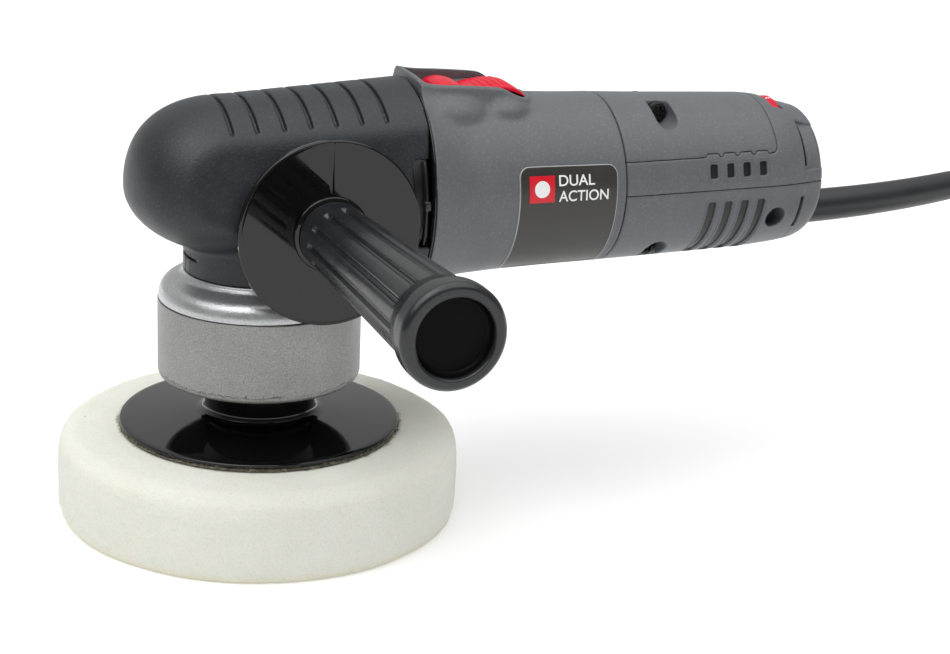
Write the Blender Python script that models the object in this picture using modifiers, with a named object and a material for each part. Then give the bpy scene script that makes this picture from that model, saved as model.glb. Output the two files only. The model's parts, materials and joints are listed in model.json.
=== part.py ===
"""Dual action polisher: right-angle random orbital polisher with a side handle and a foam pad.

The frame: the origin is on the drive spindle's axis, at the foam pad's working face. +Z runs
up the spindle, +X runs back along the motor, and the side handle sticks out along -Y.
Sizes are in millimetres, and MM turns them into Blender's metres.
"""
import math

import bmesh
import bpy
from mathutils import Matrix, Vector

MM = 0.001
GAP = 0.3

# Pad and backing plate
ORBIT_OFFSET = 4.0
ORBIT_ANGLE = math.radians(67.0)
PAD_RADIUS = 76.2
PAD_FLARE = 3.4
PAD_HEIGHT = 36.0
LOOP_RADIUS = 57.0
LOOP_THICKNESS = 1.0
PLATE_RADIUS = 56.7
PLATE_BOTTOM = 37.6
HUB_RADIUS = 22.4
HUB_TOP = 59.9
PAD_SHAFT_RADIUS = 6.0

# Cast shroud and bearing cap
SKIRT_RADIUS = 40.6
SKIRT_BOTTOM = 59.3
SKIRT_TOP = 91.1
SKIRT_BORE = 37.8
CAP_TOP = 103.1
CAP_BORE = 17.8

# Head: rubber boot over the gear case
MOTOR_HEIGHT = 133.0
NECK_RADIUS = 30.5
NECK_BOTTOM = 103.4
BOOT_WALL = 2.6
BOOT_REAR = 54.7
BOOT_REAR_RADIUS = 43.8
BOOT_FRONT_RADIUS = 39.6
DOME_START = -12.5
DOME_LENGTH = 41.0
DOME_RISE = 4.0
UNDER_DEPTH = 20.8
FLAT_SIDE = 40.7
FLAT_SIDE_REAR = 50.6
CASE_CLEARANCE = 0.8
CASE_CAVITY = 25.0

# Side handle
HANDLE_X = 14.5
HANDLE_Z = 127.6
BOSS_RADIUS = 12.0
BOSS_FACE = 41.2
STUD_RADIUS = 4.0
STUD_HOLE_END = 27.5
GUARD_RADIUS = 36.3
GUARD_FRONT = 44.3
GUARD_THICKNESS = 2.4
GUARD_BORE = 9.0
HANDLE_END = 169.0
HANDLE_FLANGE = 18.9
HANDLE_INSET = 13.5

# Motor and gears
PINION_TEETH = 10
RING_TEETH = 37
GEAR_NEAR = 17.0
GEAR_FAR = 25.0
STATOR_RADIUS = 31.0
STATOR_BORE = 20.5
STATOR_FRONT = 82.0
STATOR_REAR = 132.0
ROTOR_RADIUS = 19.5
ROTOR_SLOTS = 12
FAN_RADIUS = 30.0
FAN_BLADES = 10

# Housing and rear covers: x, height of the centre, radius
HOUSING_STATIONS = (
    (57.5, 133.2, 43.6), (66.0, 133.0, 40.6), (75.0, 132.9, 38.0), (90.0, 133.1, 36.9),
    (110.0, 133.0, 36.2), (130.0, 132.7, 35.6), (143.1, 132.6, 35.4),
)
REAR_STATIONS = (
    (143.5, 132.6, 35.3), (160.0, 132.3, 34.8), (180.0, 132.1, 34.2), (205.0, 131.9, 33.4),
    (215.0, 131.8, 33.0), (222.0, 131.5, 32.2), (230.0, 130.7, 30.8), (236.0, 130.3, 29.7),
    (240.5, 130.6, 28.6), (243.0, 130.6, 26.2),
)
PARTING_HEIGHT = 132.15
PANEL_REAR = 214.5
PANEL_BOTTOM = 146.0
VENT_X = (183.9, 191.6, 199.3, 207.0)
VENT_WIDTH = 3.0

# Switch
TRAY_HALF_WIDTH = 11.5
TRAY_FLOOR = 172.5
PLATFORM_HALF_WIDTH = 15.2
SLIDER_HALF_WIDTH = 10.6
LINK_TOP = 165.8

# Speed dial
DIAL_X = 227.0
DIAL_HEIGHT = 148.3
DIAL_RADIUS = 15.0
DIAL_WIDTH = 4.2

# Cord
CORD_RADIUS = 4.0
CORD_EXIT = (238.8, 0.0, 112.8)
SLEEVE_END = (331.0, 16.0, 112.8)
SLEEVE_RADIUS = 7.4
COIL_CENTRE = (378.0, -95.0)
COIL_MEAN_RADIUS = 45.5
COIL_HALF_WIDTH = 12.0
COIL_HEIGHT = 24.6
PLUG_START = (399.0, -33.0, 11.5)

# Facets around large, middling and small round pieces
LARGE = 24
MIDDLE = 16
SMALL = 10

SIDES = (-1, 1)
PARTS = bpy.data.collections.new("dual_action_polisher")
CUTTERS = bpy.data.collections.new("cutters")
PAINTS = {}
AXIS_TURNS = {
    "Z": (0.0, 0.0, 0.0),
    "X": (0.0, math.pi / 2, 0.0),
    "-X": (0.0, -math.pi / 2, 0.0),
    "Y": (-math.pi / 2, 0.0, 0.0),
    "-Y": (math.pi / 2, 0.0, 0.0),
}


def clear_scene():
    for thing in list(bpy.data.objects):
        bpy.data.objects.remove(thing, do_unlink=True)
    for group in (PARTS, CUTTERS):
        bpy.context.scene.collection.children.link(group)


def paint(name, colour, roughness, metallic=0.0):
    """One Principled material, made the first time its name is used."""
    if name not in PAINTS:
        made = bpy.data.materials.new(name)
        made.use_nodes = True
        shader = made.node_tree.nodes["Principled BSDF"]
        shader.inputs["Base Color"].default_value = (*colour, 1.0)
        shader.inputs["Roughness"].default_value = roughness
        shader.inputs["Metallic"].default_value = metallic
        made.diffuse_color = (*colour, 1.0)
        PAINTS[name] = made
    return PAINTS[name]


def rubber():
    return paint("boot_rubber", (0.055, 0.06, 0.068), 0.62)


def housing_plastic():
    return paint("housing_plastic", (0.14, 0.15, 0.16), 0.5)


def black_plastic():
    return paint("black_plastic", (0.018, 0.018, 0.02), 0.25)


def red_plastic():
    return paint("red_plastic", (0.62, 0.012, 0.03), 0.35)


def cast_metal():
    return paint("cast_metal", (0.42, 0.42, 0.42), 0.42, 1.0)


def steel():
    return paint("steel", (0.5, 0.5, 0.5), 0.3, 1.0)


def copper():
    return paint("copper", (0.7, 0.3, 0.12), 0.35, 1.0)


def foam():
    return paint("foam", (0.8, 0.8, 0.73), 0.95)


def fabric():
    return paint("hook_fabric", (0.3, 0.3, 0.24), 0.95)


def carbon():
    return paint("carbon", (0.03, 0.03, 0.03), 0.7)


def cord_rubber():
    return paint("cord_rubber", (0.03, 0.031, 0.034), 0.5)


def label_film():
    return paint("label_film", (0.065, 0.063, 0.06), 0.3)


def place(name, mesh, colour, group=PARTS):
    thing = bpy.data.objects.new(name, mesh)
    group.objects.link(thing)
    if colour:
        mesh.materials.append(colour)
    if group is CUTTERS:
        thing.hide_render = True
        thing.display_type = "WIRE"
    return thing


def from_bmesh(name, shape, colour, group=PARTS, sharp=40.0):
    mesh = bpy.data.meshes.new(name)
    shape.to_mesh(mesh)
    shape.free()
    mesh.shade_smooth()
    mesh.set_sharp_from_angle(angle=math.radians(sharp))
    return place(name, mesh, colour, group)


def turned(name, profile, colour, axis="Z", at=(0.0, 0.0, 0.0), steps=MIDDLE, group=PARTS):
    """A turned solid: (radius, height) points that run down its outer side, top to bottom.

    A profile that leaves the axis makes a ring, and its last point joins its first.
    """
    mesh = bpy.data.meshes.new(name)
    points = [(radius * MM, 0.0, height * MM) for radius, height in profile]
    edges = [(i, i + 1) for i in range(len(points) - 1)]
    if profile[0][0] > 0.0:
        edges.append((len(points) - 1, 0))
    mesh.from_pydata(points, edges, [])
    thing = place(name, mesh, colour, group)
    thing.location = Vector(at) * MM
    thing.rotation_euler = AXIS_TURNS[axis]
    screw = thing.modifiers.new("Turn", "SCREW")
    screw.steps = screw.render_steps = steps
    screw.use_merge_vertices = True
    screw.merge_threshold = 0.00001
    screw.use_smooth_shade = True
    return thing


def plug_profile(radius, low, high):
    return ((0.0, high), (radius, high), (radius, low), (0.0, low))


def ring_profile(inner, outer, low, high):
    return ((inner, high), (outer, high), (outer, low), (inner, low))


def box(name, low, high, colour=None, group=PARTS, bevel=0.0):
    shape = bmesh.new()
    bmesh.ops.create_cube(shape, size=1.0)
    low, high = Vector(low) * MM, Vector(high) * MM
    bmesh.ops.scale(shape, vec=high - low, verts=shape.verts)
    bmesh.ops.translate(shape, vec=(high + low) / 2, verts=shape.verts)
    thing = from_bmesh(name, shape, colour, group)
    if bevel:
        add_bevel(thing, bevel)
    return thing


def cutter_boxes(name, corners):
    """One cutter of several separate boxes, each given by its low and high corner."""
    shape = bmesh.new()
    for low, high in corners:
        low, high = Vector(low) * MM, Vector(high) * MM
        made = bmesh.ops.create_cube(shape, size=1.0)["verts"]
        bmesh.ops.scale(shape, vec=high - low, verts=made)
        bmesh.ops.translate(shape, vec=(high + low) / 2, verts=made)
    return from_bmesh(name, shape, None, CUTTERS)


def add_rods(shape, radius, inner, outer, x, height, steps):
    """Two rods along Y, one on each side of y = 0, from inner to outer distance."""
    for side in SIDES:
        turn = Matrix.Translation(Vector((x, side * (inner + outer) / 2, height)) * MM)
        turn = turn @ Matrix.Rotation(math.pi / 2, 4, "X")
        bmesh.ops.create_cone(shape, cap_ends=True, segments=steps, radius1=radius * MM,
                              radius2=radius * MM, depth=(outer - inner) * MM, matrix=turn)


def cutter_rods(name, radius, inner, outer, x, height, steps=MIDDLE):
    shape = bmesh.new()
    add_rods(shape, radius, inner, outer, x, height, steps)
    return from_bmesh(name, shape, None, CUTTERS)


def add_bevel(thing, width, segments=2):
    edge = thing.modifiers.new("Edge", "BEVEL")
    edge.width = width * MM
    edge.segments = segments
    edge.limit_method = "ANGLE"
    edge.angle_limit = math.radians(35.0)
    return edge


def prism(name, outline, half_width, colour=None, group=PARTS):
    """An (x, z) outline, given clockwise as seen along +Y, pulled to both sides of y = 0."""
    shape = bmesh.new()
    corners = [shape.verts.new((x * MM, -half_width * MM, z * MM)) for x, z in outline]
    face = shape.faces.new(corners)
    pulled = bmesh.ops.extrude_face_region(shape, geom=[face])["geom"]
    moved = [item for item in pulled if isinstance(item, bmesh.types.BMVert)]
    bmesh.ops.translate(shape, vec=(0.0, 2 * half_width * MM, 0.0), verts=moved)
    bmesh.ops.recalc_face_normals(shape, faces=shape.faces)
    return from_bmesh(name, shape, colour, group)


def loft(name, rings, colour=None, group=PARTS, around=False, sharp=40.0):
    """Skin a row of equal rings. Around joins the last ring to the first, or both ends are capped."""
    shape = bmesh.new()
    rows = [[shape.verts.new(Vector(point) * MM) for point in ring] for ring in rings]
    count = len(rows[0])
    pairs = list(zip(rows, rows[1:]))
    if around:
        pairs.append((rows[-1], rows[0]))
    for near, far in pairs:
        for i in range(count):
            j = (i + 1) % count
            shape.faces.new((near[i], near[j], far[j], far[i]))
    if not around:
        shape.faces.new(rows[0])
        shape.faces.new(rows[-1])
    bmesh.ops.recalc_face_normals(shape, faces=shape.faces)
    if around:
        bmesh.ops.triangulate(shape, faces=shape.faces)
    return from_bmesh(name, shape, colour, group, sharp)


def combine(thing, other, operation="DIFFERENCE"):
    step = thing.modifiers.new(operation.title(), "BOOLEAN")
    step.operation = operation
    step.solver = "EXACT"
    step.object = other
    return thing


def close_slivers(thing):
    """Weld the corners that a row of Booleans leaves a hair apart."""
    weld = thing.modifiers.new("Slivers", "WELD")
    weld.merge_threshold = 0.00003
    return thing


def smoothstep(value):
    value = min(max(value, 0.0), 1.0)
    return value * value * (3.0 - 2.0 * value)


def between(stations, x):
    """Centre height and radius at x, on a smooth curve through the stations."""
    for i in range(len(stations) - 1):
        if x <= stations[i + 1][0] or i == len(stations) - 2:
            break
    before = stations[max(i - 1, 0)]
    start, end = stations[i], stations[i + 1]
    after = stations[min(i + 2, len(stations) - 1)]
    span = end[0] - start[0]
    t = min(max((x - start[0]) / span, 0.0), 1.0)
    result = []
    for k in (1, 2):
        slope_start = (end[k] - before[k]) / (end[0] - before[0]) * span
        slope_end = (after[k] - start[k]) / (after[0] - start[0]) * span
        result.append(
            (2 * t**3 - 3 * t**2 + 1) * start[k] + (t**3 - 2 * t**2 + t) * slope_start
            + (3 * t**2 - 2 * t**3) * end[k] + (t**3 - t**2) * slope_end
        )
    return result


def circle(x, centre, radius, low=None, count=LARGE):
    """Points of a section across X; low is the depth of the lower half if it isn't round."""
    low = radius if low is None else low
    points = []
    for i in range(count):
        angle = 2 * math.pi * i / count
        drop = low if math.sin(angle) < 0 else radius
        points.append((x, radius * math.cos(angle), centre + drop * math.sin(angle)))
    return points


def head_section(x, inset=0.0, count=LARGE):
    """The head: a round tube with flat sides over a flatter underside, and a dome at the front."""
    along = (x - DOME_START) / (BOOT_REAR - DOME_START)
    radius = BOOT_FRONT_RADIUS + (BOOT_REAR_RADIUS - BOOT_FRONT_RADIUS) * max(along, 0.0)
    centre = MOTOR_HEIGHT + 0.3
    depth = UNDER_DEPTH + (radius - UNDER_DEPTH) * smoothstep((x - 22.0) / (BOOT_REAR - 18.0))
    radius -= inset
    depth -= inset
    if x < DOME_START:
        t = min((DOME_START - x) / (DOME_LENGTH - inset), 0.9999)
        shrink = (1.0 - t**2.25) ** (1 / 2.25)
        centre += DOME_RISE * t * t
        radius *= shrink
        depth *= shrink
    flat = FLAT_SIDE if x <= FLAT_SIDE_REAR else BOOT_REAR_RADIUS
    limit = flat - inset
    return [(px, max(-limit, min(limit, py)), pz) for px, py, pz in circle(x, centre, radius, depth, count)]


def head_stations(inset, rear):
    """X positions along the head, closer together where the dome turns in."""
    tip = DOME_START - DOME_LENGTH + inset
    dome = [DOME_START - (DOME_START - tip) * math.sin(math.radians(a)) for a in range(84, 0, -17)]
    return dome + [DOME_START, 22.0, 32.0, 42.0, FLAT_SIDE_REAR, rear]


def tube(name, points, radius, colour, resolution=2, radii=None):
    """A round cord or sleeve along points in mm."""
    curve = bpy.data.curves.new(name, "CURVE")
    curve.dimensions = "3D"
    curve.bevel_depth = radius * MM
    curve.bevel_resolution = resolution
    curve.use_fill_caps = True
    spline = curve.splines.new("POLY")
    spline.points.add(len(points) - 1)
    for i, point in enumerate(points):
        spline.points[i].co = (*(Vector(point) * MM), 1.0)
        spline.points[i].radius = radii[i] / radius if radii else 1.0
    curve.materials.append(colour)
    thing = bpy.data.objects.new(name, curve)
    PARTS.objects.link(thing)
    return thing


def smooth_route(knots, spacing):
    """Evenly spaced points on a centripetal curve through the knots."""
    knots = [Vector(k) for k in knots]
    ends = [2 * knots[0] - knots[1]] + knots + [2 * knots[-1] - knots[-2]]
    fine = []
    for i in range(1, len(ends) - 2):
        p0, p1, p2, p3 = ends[i - 1:i + 3]
        for step in range(24):
            t = step / 24
            fine.append(
                0.5 * (2 * p1 + (p2 - p0) * t + (2 * p0 - 5 * p1 + 4 * p2 - p3) * t * t
                       + (3 * p1 - p0 - 3 * p2 + p3) * t**3)
            )
    fine.append(knots[-1])
    length = sum((b - a).length for a, b in zip(fine, fine[1:]))
    count = max(int(round(length / spacing)), 2)
    points, walked, target = [fine[0]], 0.0, length / count
    for a, b in zip(fine, fine[1:]):
        step = (b - a).length
        while walked + step >= target - 1e-9 and len(points) < count:
            points.append(a.lerp(b, (target - walked) / step))
            target += length / count
        walked += step
    points.append(fine[-1])
    return points


def orbit_point(height=0.0):
    return (ORBIT_OFFSET * math.cos(ORBIT_ANGLE), ORBIT_OFFSET * math.sin(ORBIT_ANGLE), height)


def build_pad():
    centre = orbit_point()
    top = PAD_RADIUS + PAD_FLARE
    turned("foam_pad", (
        (0.0, PAD_HEIGHT), (top - 9.0, PAD_HEIGHT), (top - 3.4, PAD_HEIGHT - 0.8),
        (top - 0.8, PAD_HEIGHT - 2.8), (top, PAD_HEIGHT - 6.0), (top - 0.9, 18.0),
        (PAD_RADIUS + 0.6, 6.0), (PAD_RADIUS - 0.7, 1.4), (PAD_RADIUS - 2.2, 0.0), (0.0, 0.0),
    ), foam(), at=centre, steps=LARGE)
    loop_bottom = PAD_HEIGHT + GAP
    turned("hook_loop_disc", plug_profile(LOOP_RADIUS, loop_bottom, loop_bottom + LOOP_THICKNESS),
           fabric(), at=centre, steps=LARGE)
    turned("backing_plate", (
        (0.0, 43.5), (PAD_SHAFT_RADIUS + 2.3, 43.5), (PAD_SHAFT_RADIUS + 2.3, HUB_TOP),
        (HUB_RADIUS - 0.8, HUB_TOP), (HUB_RADIUS, HUB_TOP - 0.8), (HUB_RADIUS, 44.2),
        (HUB_RADIUS + 0.7, 42.6), (HUB_RADIUS + 2.4, 41.9), (PLATE_RADIUS - 1.4, 39.2),
        (PLATE_RADIUS, 38.6), (PLATE_RADIUS, PLATE_BOTTOM), (0.0, PLATE_BOTTOM),
    ), black_plastic(), at=centre, steps=LARGE)
    turned("pad_spindle", (
        (0.0, 80.2), (PAD_SHAFT_RADIUS - 0.6, 80.2), (PAD_SHAFT_RADIUS, 79.6), (PAD_SHAFT_RADIUS, 63.6),
        (10.0, 63.6), (10.0, HUB_TOP + GAP), (8.0, HUB_TOP + GAP), (8.0, 45.0), (7.0, 44.0), (0.0, 44.0),
    ), steel(), at=centre, steps=MIDDLE)
    turned("pad_spindle_bearing", ring_profile(PAD_SHAFT_RADIUS + GAP, 13.0, 64.4, 79.8),
           steel(), at=centre, steps=MIDDLE)


def build_drive():
    hub = turned("counterweight", plug_profile(24.0, 64.2, 90.6), cast_metal(), steps=LARGE)
    weight = turned("weight_disc", plug_profile(35.4, 66.0, 84.0), None, steps=LARGE, group=CUTTERS)
    away = box("weight_side", (0.0, -50.0, 50.0), (50.0, 50.0, 100.0), group=CUTTERS)
    away.rotation_euler = (0.0, 0.0, ORBIT_ANGLE)
    combine(weight, away)
    combine(hub, weight, "UNION")
    combine(hub, turned("bearing_pocket", plug_profile(13.0 + GAP, 60.0, 80.6), None,
                        at=orbit_point(), steps=LARGE, group=CUTTERS))
    combine(hub, turned("spindle_pocket", plug_profile(8.0, 80.0, 95.0), None, steps=MIDDLE, group=CUTTERS))
    turned("drive_spindle", (
        (0.0, 156.4), (4.3, 156.4), (4.7, 156.0), (4.7, 146.8), (6.9, 146.2), (6.9, 104.0),
        (7.7, 103.4), (7.7, 82.0), (7.2, 81.4), (0.0, 81.4),
    ), steel(), steps=MIDDLE)
    build_bevel_gear("bevel_ring_gear", RING_TEETH, True)
    turned("spindle_bearing_lower", ring_profile(8.0, CAP_BORE - GAP, 91.8, 102.8), steel(), steps=MIDDLE)
    turned("spindle_bearing_upper", ring_profile(5.0, 11.0, 147.2, 155.0), steel(), steps=MIDDLE)


def build_bevel_gear(name, teeth, is_ring):
    """Straight bevel gear: V teeth cut on a cone whose tip is where the two shafts' axes cross."""
    pinion_cone = math.atan(PINION_TEETH / RING_TEETH)
    cone = math.pi / 2 - pinion_cone if is_ring else pinion_cone
    tip_relief = 0.35
    depth = 1.5
    count = 2 * teeth

    def rim(distance, cut):
        return (distance * math.sin(cone) - cut * math.cos(cone),
                distance * math.cos(cone) + cut * math.sin(cone))

    rings = []
    bore, hub = (7.2, 11.0) if is_ring else (2.3, 5.0)
    hub_front, back = (17.8, 20.8) if is_ring else (26.0, 29.3)
    heel = 2.0 if is_ring else 0.8
    near_depth = depth * GEAR_NEAR / GEAR_FAR
    near_tip, near_root = rim(GEAR_NEAR, tip_relief), rim(GEAR_NEAR, tip_relief + near_depth)
    far_tip, far_root = rim(GEAR_FAR, tip_relief), rim(GEAR_FAR, tip_relief + depth)
    inner = hub - 0.6 if is_ring else near_root[0] - 0.4
    sections = (
        ((bore, near_root[1] + 1.0), (bore, near_root[1] + 1.0)),
        ((inner, near_root[1] + 0.8), (inner, near_root[1] + 0.8)),
        (near_tip, near_root),
        (far_tip, far_root),
        ((far_root[0] - 0.8, far_root[1] + heel), (far_root[0] - 0.8, far_root[1] + heel)),
        ((hub, hub_front), (hub, hub_front)),
        ((hub, back), (hub, back)),
        ((bore, back), (bore, back)),
    )
    for on_tip, on_root in sections:
        ring = []
        for i in range(count):
            radius, distance = on_tip if i % 2 else on_root
            angle = 2 * math.pi * i / count
            across, up = radius * math.cos(angle), radius * math.sin(angle)
            if is_ring:
                ring.append((across, up, MOTOR_HEIGHT - distance))
            else:
                ring.append((distance, across, MOTOR_HEIGHT + up))
        rings.append(ring)
    return loft(name, rings, steel(), around=True, sharp=20.0)


def build_shroud():
    turned("shroud_skirt", (
        (SKIRT_BORE, SKIRT_TOP), (SKIRT_RADIUS - 0.3, SKIRT_TOP), (SKIRT_RADIUS, SKIRT_TOP - 0.4),
        (SKIRT_RADIUS, SKIRT_BOTTOM + 2.0), (SKIRT_RADIUS - 0.6, SKIRT_BOTTOM + 0.4),
        (SKIRT_RADIUS - 1.1, SKIRT_BOTTOM), (SKIRT_BORE, SKIRT_BOTTOM),
    ), cast_metal(), steps=LARGE)
    turned("bearing_cap", (
        (CAP_BORE, CAP_TOP), (30.6, CAP_TOP), (31.0, 102.2), (32.0, 100.8), (34.4, 99.8), (37.0, 98.8),
        (39.0, 97.0), (40.1, 94.4), (40.3, SKIRT_TOP + GAP), (CAP_BORE, SKIRT_TOP + GAP),
    ), cast_metal(), steps=LARGE)


def side_bore(name, radius, low, high, steps=MIDDLE):
    """A cutter along Y on the side handle's axis."""
    return turned(name, plug_profile(radius, low, high), None, axis="Y",
                  at=(HANDLE_X, 0.0, HANDLE_Z), steps=steps, group=CUTTERS)


def build_head():
    boot = loft("head_boot", [head_section(x) for x in head_stations(0.0, BOOT_REAR)], rubber())
    combine(boot, turned("boot_neck", plug_profile(NECK_RADIUS, NECK_BOTTOM, 126.0), None,
                         steps=LARGE, group=CUTTERS), "UNION")
    inside = [head_section(x, BOOT_WALL) for x in head_stations(BOOT_WALL, BOOT_REAR)]
    inside.append(head_section(BOOT_REAR + 2.0, BOOT_WALL))
    combine(boot, loft("boot_cavity", inside, group=CUTTERS))
    combine(boot, turned("boot_neck_bore", plug_profile(NECK_RADIUS - BOOT_WALL, 100.0, 128.0), None,
                         steps=LARGE, group=CUTTERS))
    combine(boot, side_bore("boot_boss_hole", BOSS_RADIUS + GAP, -60.0, 60.0))
    combine(boot, box("boot_windows", (47.6, -60.0, 118.5), (60.0, 60.0, 155.3), group=CUTTERS))

    inset = BOOT_WALL + CASE_CLEARANCE
    sections = [head_section(x, inset) for x in head_stations(inset, BOOT_REAR)]
    case = loft("gear_case", sections, cast_metal())
    neck = NECK_RADIUS - inset
    combine(case, turned("case_neck", plug_profile(neck, NECK_BOTTOM, 126.0), None,
                         steps=LARGE, group=CUTTERS), "UNION")
    combine(case, side_bore("case_bosses", BOSS_RADIUS, -BOSS_FACE, BOSS_FACE), "UNION")
    combine(case, turned("case_shaft_room", (
        (0.0, 156.9), (11.0 + GAP, 156.9), (11.0 + GAP, 146.6), (CASE_CAVITY, 146.6), (CASE_CAVITY, 90.0),
        (0.0, 90.0),
    ), None, steps=LARGE, group=CUTTERS))
    combine(case, turned("case_motor_room", (
        (0.0, 62.0), (36.0, 62.0), (36.0, 54.0), (14.0 + GAP, 54.0), (14.0 + GAP, 43.4), (12.0, 43.4),
        (12.0, 0.0), (0.0, 0.0),
    ), None, axis="X", at=(0.0, 0.0, MOTOR_HEIGHT), steps=LARGE, group=CUTTERS))
    combine(case, side_bore("case_stud_hole", STUD_RADIUS + GAP, -60.0, -STUD_HOLE_END, SMALL))
    close_slivers(boot)
    close_slivers(case)
    turned("seam_ring", (
        (39.8, 57.2), (43.4, 57.2), (43.9, 56.8), (43.9, 55.4), (43.4, 55.0), (39.8, 55.0),
    ), black_plastic(), axis="X", at=(0.0, 0.0, MOTOR_HEIGHT + 0.3), steps=LARGE)


def build_handle():
    centre = (HANDLE_X, 0.0, HANDLE_Z)
    back = GUARD_FRONT - GUARD_THICKNESS
    turned("handle_guard", (
        (GUARD_BORE, GUARD_FRONT), (GUARD_RADIUS - 0.6, GUARD_FRONT), (GUARD_RADIUS, GUARD_FRONT - 0.6),
        (GUARD_RADIUS, back + 0.3), (GUARD_RADIUS - 0.3, back), (GUARD_BORE, back),
    ), black_plastic(), axis="-Y", at=centre, steps=LARGE)
    collar = BOSS_FACE + GAP
    turned("handle_grip", (
        (STUD_RADIUS + GAP, 164.0), (HANDLE_INSET, 164.0), (HANDLE_INSET, HANDLE_END),
        (HANDLE_FLANGE - 1.2, HANDLE_END), (HANDLE_FLANGE, HANDLE_END - 1.4), (HANDLE_FLANGE, 160.0),
        (16.6, 154.0), (15.4, 120.0), (14.2, 80.0), (13.4, 56.0), (13.4, 48.0), (12.6, GUARD_FRONT + GAP),
        (GUARD_BORE - GAP, GUARD_FRONT + GAP), (GUARD_BORE - GAP, collar), (STUD_RADIUS + GAP, collar),
    ), paint("grip_plastic", (0.04, 0.042, 0.045), 0.42), axis="-Y", at=centre, steps=LARGE)
    turned("handle_end_cap", (
        (0.0, 166.4), (11.4, 166.4), (HANDLE_INSET - 0.3, 167.4), (HANDLE_INSET - 0.3, 164.3), (0.0, 164.3),
    ), black_plastic(), axis="-Y", at=centre, steps=LARGE)
    turned("handle_stud", (
        (0.0, 70.0), (STUD_RADIUS, 70.0), (STUD_RADIUS, 28.8), (STUD_RADIUS - 0.8, STUD_HOLE_END + 0.5),
        (0.0, STUD_HOLE_END + 0.5),
    ), steel(), axis="-Y", at=centre, steps=MIDDLE)


def build_housing():
    positions = (57.5, 61.5, 66.0, 70.5, 75.0, 82.0, 90.0, 100.0, 110.0, 130.0, 143.1)
    shell = loft("motor_housing", [circle(x, *between(HOUSING_STATIONS, x)) for x in positions],
                 housing_plastic())
    platform = prism("switch_platform", (
        (57.8, 158.0), (57.8, 178.9), (60.4, 178.9), (64.0, 178.2), (92.0, 176.6), (96.5, 175.2),
        (103.0, 170.9), (108.0, 168.6), (108.0, 158.0),
    ), PLATFORM_HALF_WIDTH, group=CUTTERS)
    add_bevel(platform, 1.6)
    combine(shell, platform, "UNION")
    combine(shell, turned("housing_room", (
        (0.0, 150.0), (STATOR_RADIUS + 0.4, 150.0), (STATOR_RADIUS + 0.4, 79.0), (34.6, 72.0),
        (37.4, 62.0), (37.4, 50.0), (0.0, 50.0),
    ), None, axis="X", at=(0.0, 0.0, MOTOR_HEIGHT), steps=LARGE, group=CUTTERS))
    combine(shell, prism("switch_tray", (
        (61.6, 190.0), (61.6, TRAY_FLOOR), (93.0, TRAY_FLOOR), (99.0, 169.8), (114.0, 169.8),
        (114.0, 190.0),
    ), TRAY_HALF_WIDTH, group=CUTTERS))
    combine(shell, box("switch_slot", (80.6, -3.2, 160.0), (93.4, 3.2, 176.0), group=CUTTERS))
    combine(shell, box("link_channel", (79.9, -3.6, 160.0), (146.0, 3.6, LINK_TOP + GAP), group=CUTTERS))
    close_slivers(shell)
    for side, name in zip(SIDES, ("badge_plate", "rating_plate")):
        build_label(name, side)


def build_label(name, side):
    """A thin curved plate on the housing's side."""
    angles = [math.radians(a) for a in range(-54, 24, 7)]
    rings = []
    for x in (95.0, 106.0, 117.0, 128.0, 139.4):
        centre, radius = between(HOUSING_STATIONS, x)
        ring = []
        for lift, order in ((0.35, angles), (0.9, angles[::-1])):
            for angle in order:
                reach = radius + lift
                ring.append((x, side * reach * math.cos(angle), centre + reach * math.sin(angle)))
        rings.append(ring)
    loft(name, rings, label_film(), sharp=30.0)


def rear_shell(name):
    """The whole rear cover, before it is split into the panel and the two shells."""
    positions = (143.5, 160.0, 180.0, 205.0, 215.0, 222.0, 226.0, 230.0, 236.0, 240.5, 243.0)
    shell = loft(name, [circle(x, *between(REAR_STATIONS, x)) for x in positions], housing_plastic())
    combine(shell, turned(name + "_room", (
        (0.0, 238.4), (24.6, 238.4), (28.0, 232.0), (31.2, 218.0), (31.2, 140.0), (0.0, 140.0),
    ), None, axis="X", at=(0.0, 0.0, MOTOR_HEIGHT - 1.0), steps=LARGE, group=CUTTERS))
    return shell


def add_screw_posts(shell, x, height, pocket_end):
    """A cross post inside the shell, bored from both sides for a screw and its head."""
    centre = (x, 0.0, height)
    tag = shell.name
    combine(shell, turned(tag + "_post", plug_profile(5.6, -15.0, 15.0), None, axis="Y", at=centre,
                          steps=MIDDLE, group=CUTTERS), "UNION")
    combine(shell, cutter_rods(tag + "_pockets", 4.2, pocket_end, 40.0, x, height))
    combine(shell, cutter_rods(tag + "_pilots", 2.2, 2.4, pocket_end + 1.0, x, height, SMALL))


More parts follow.
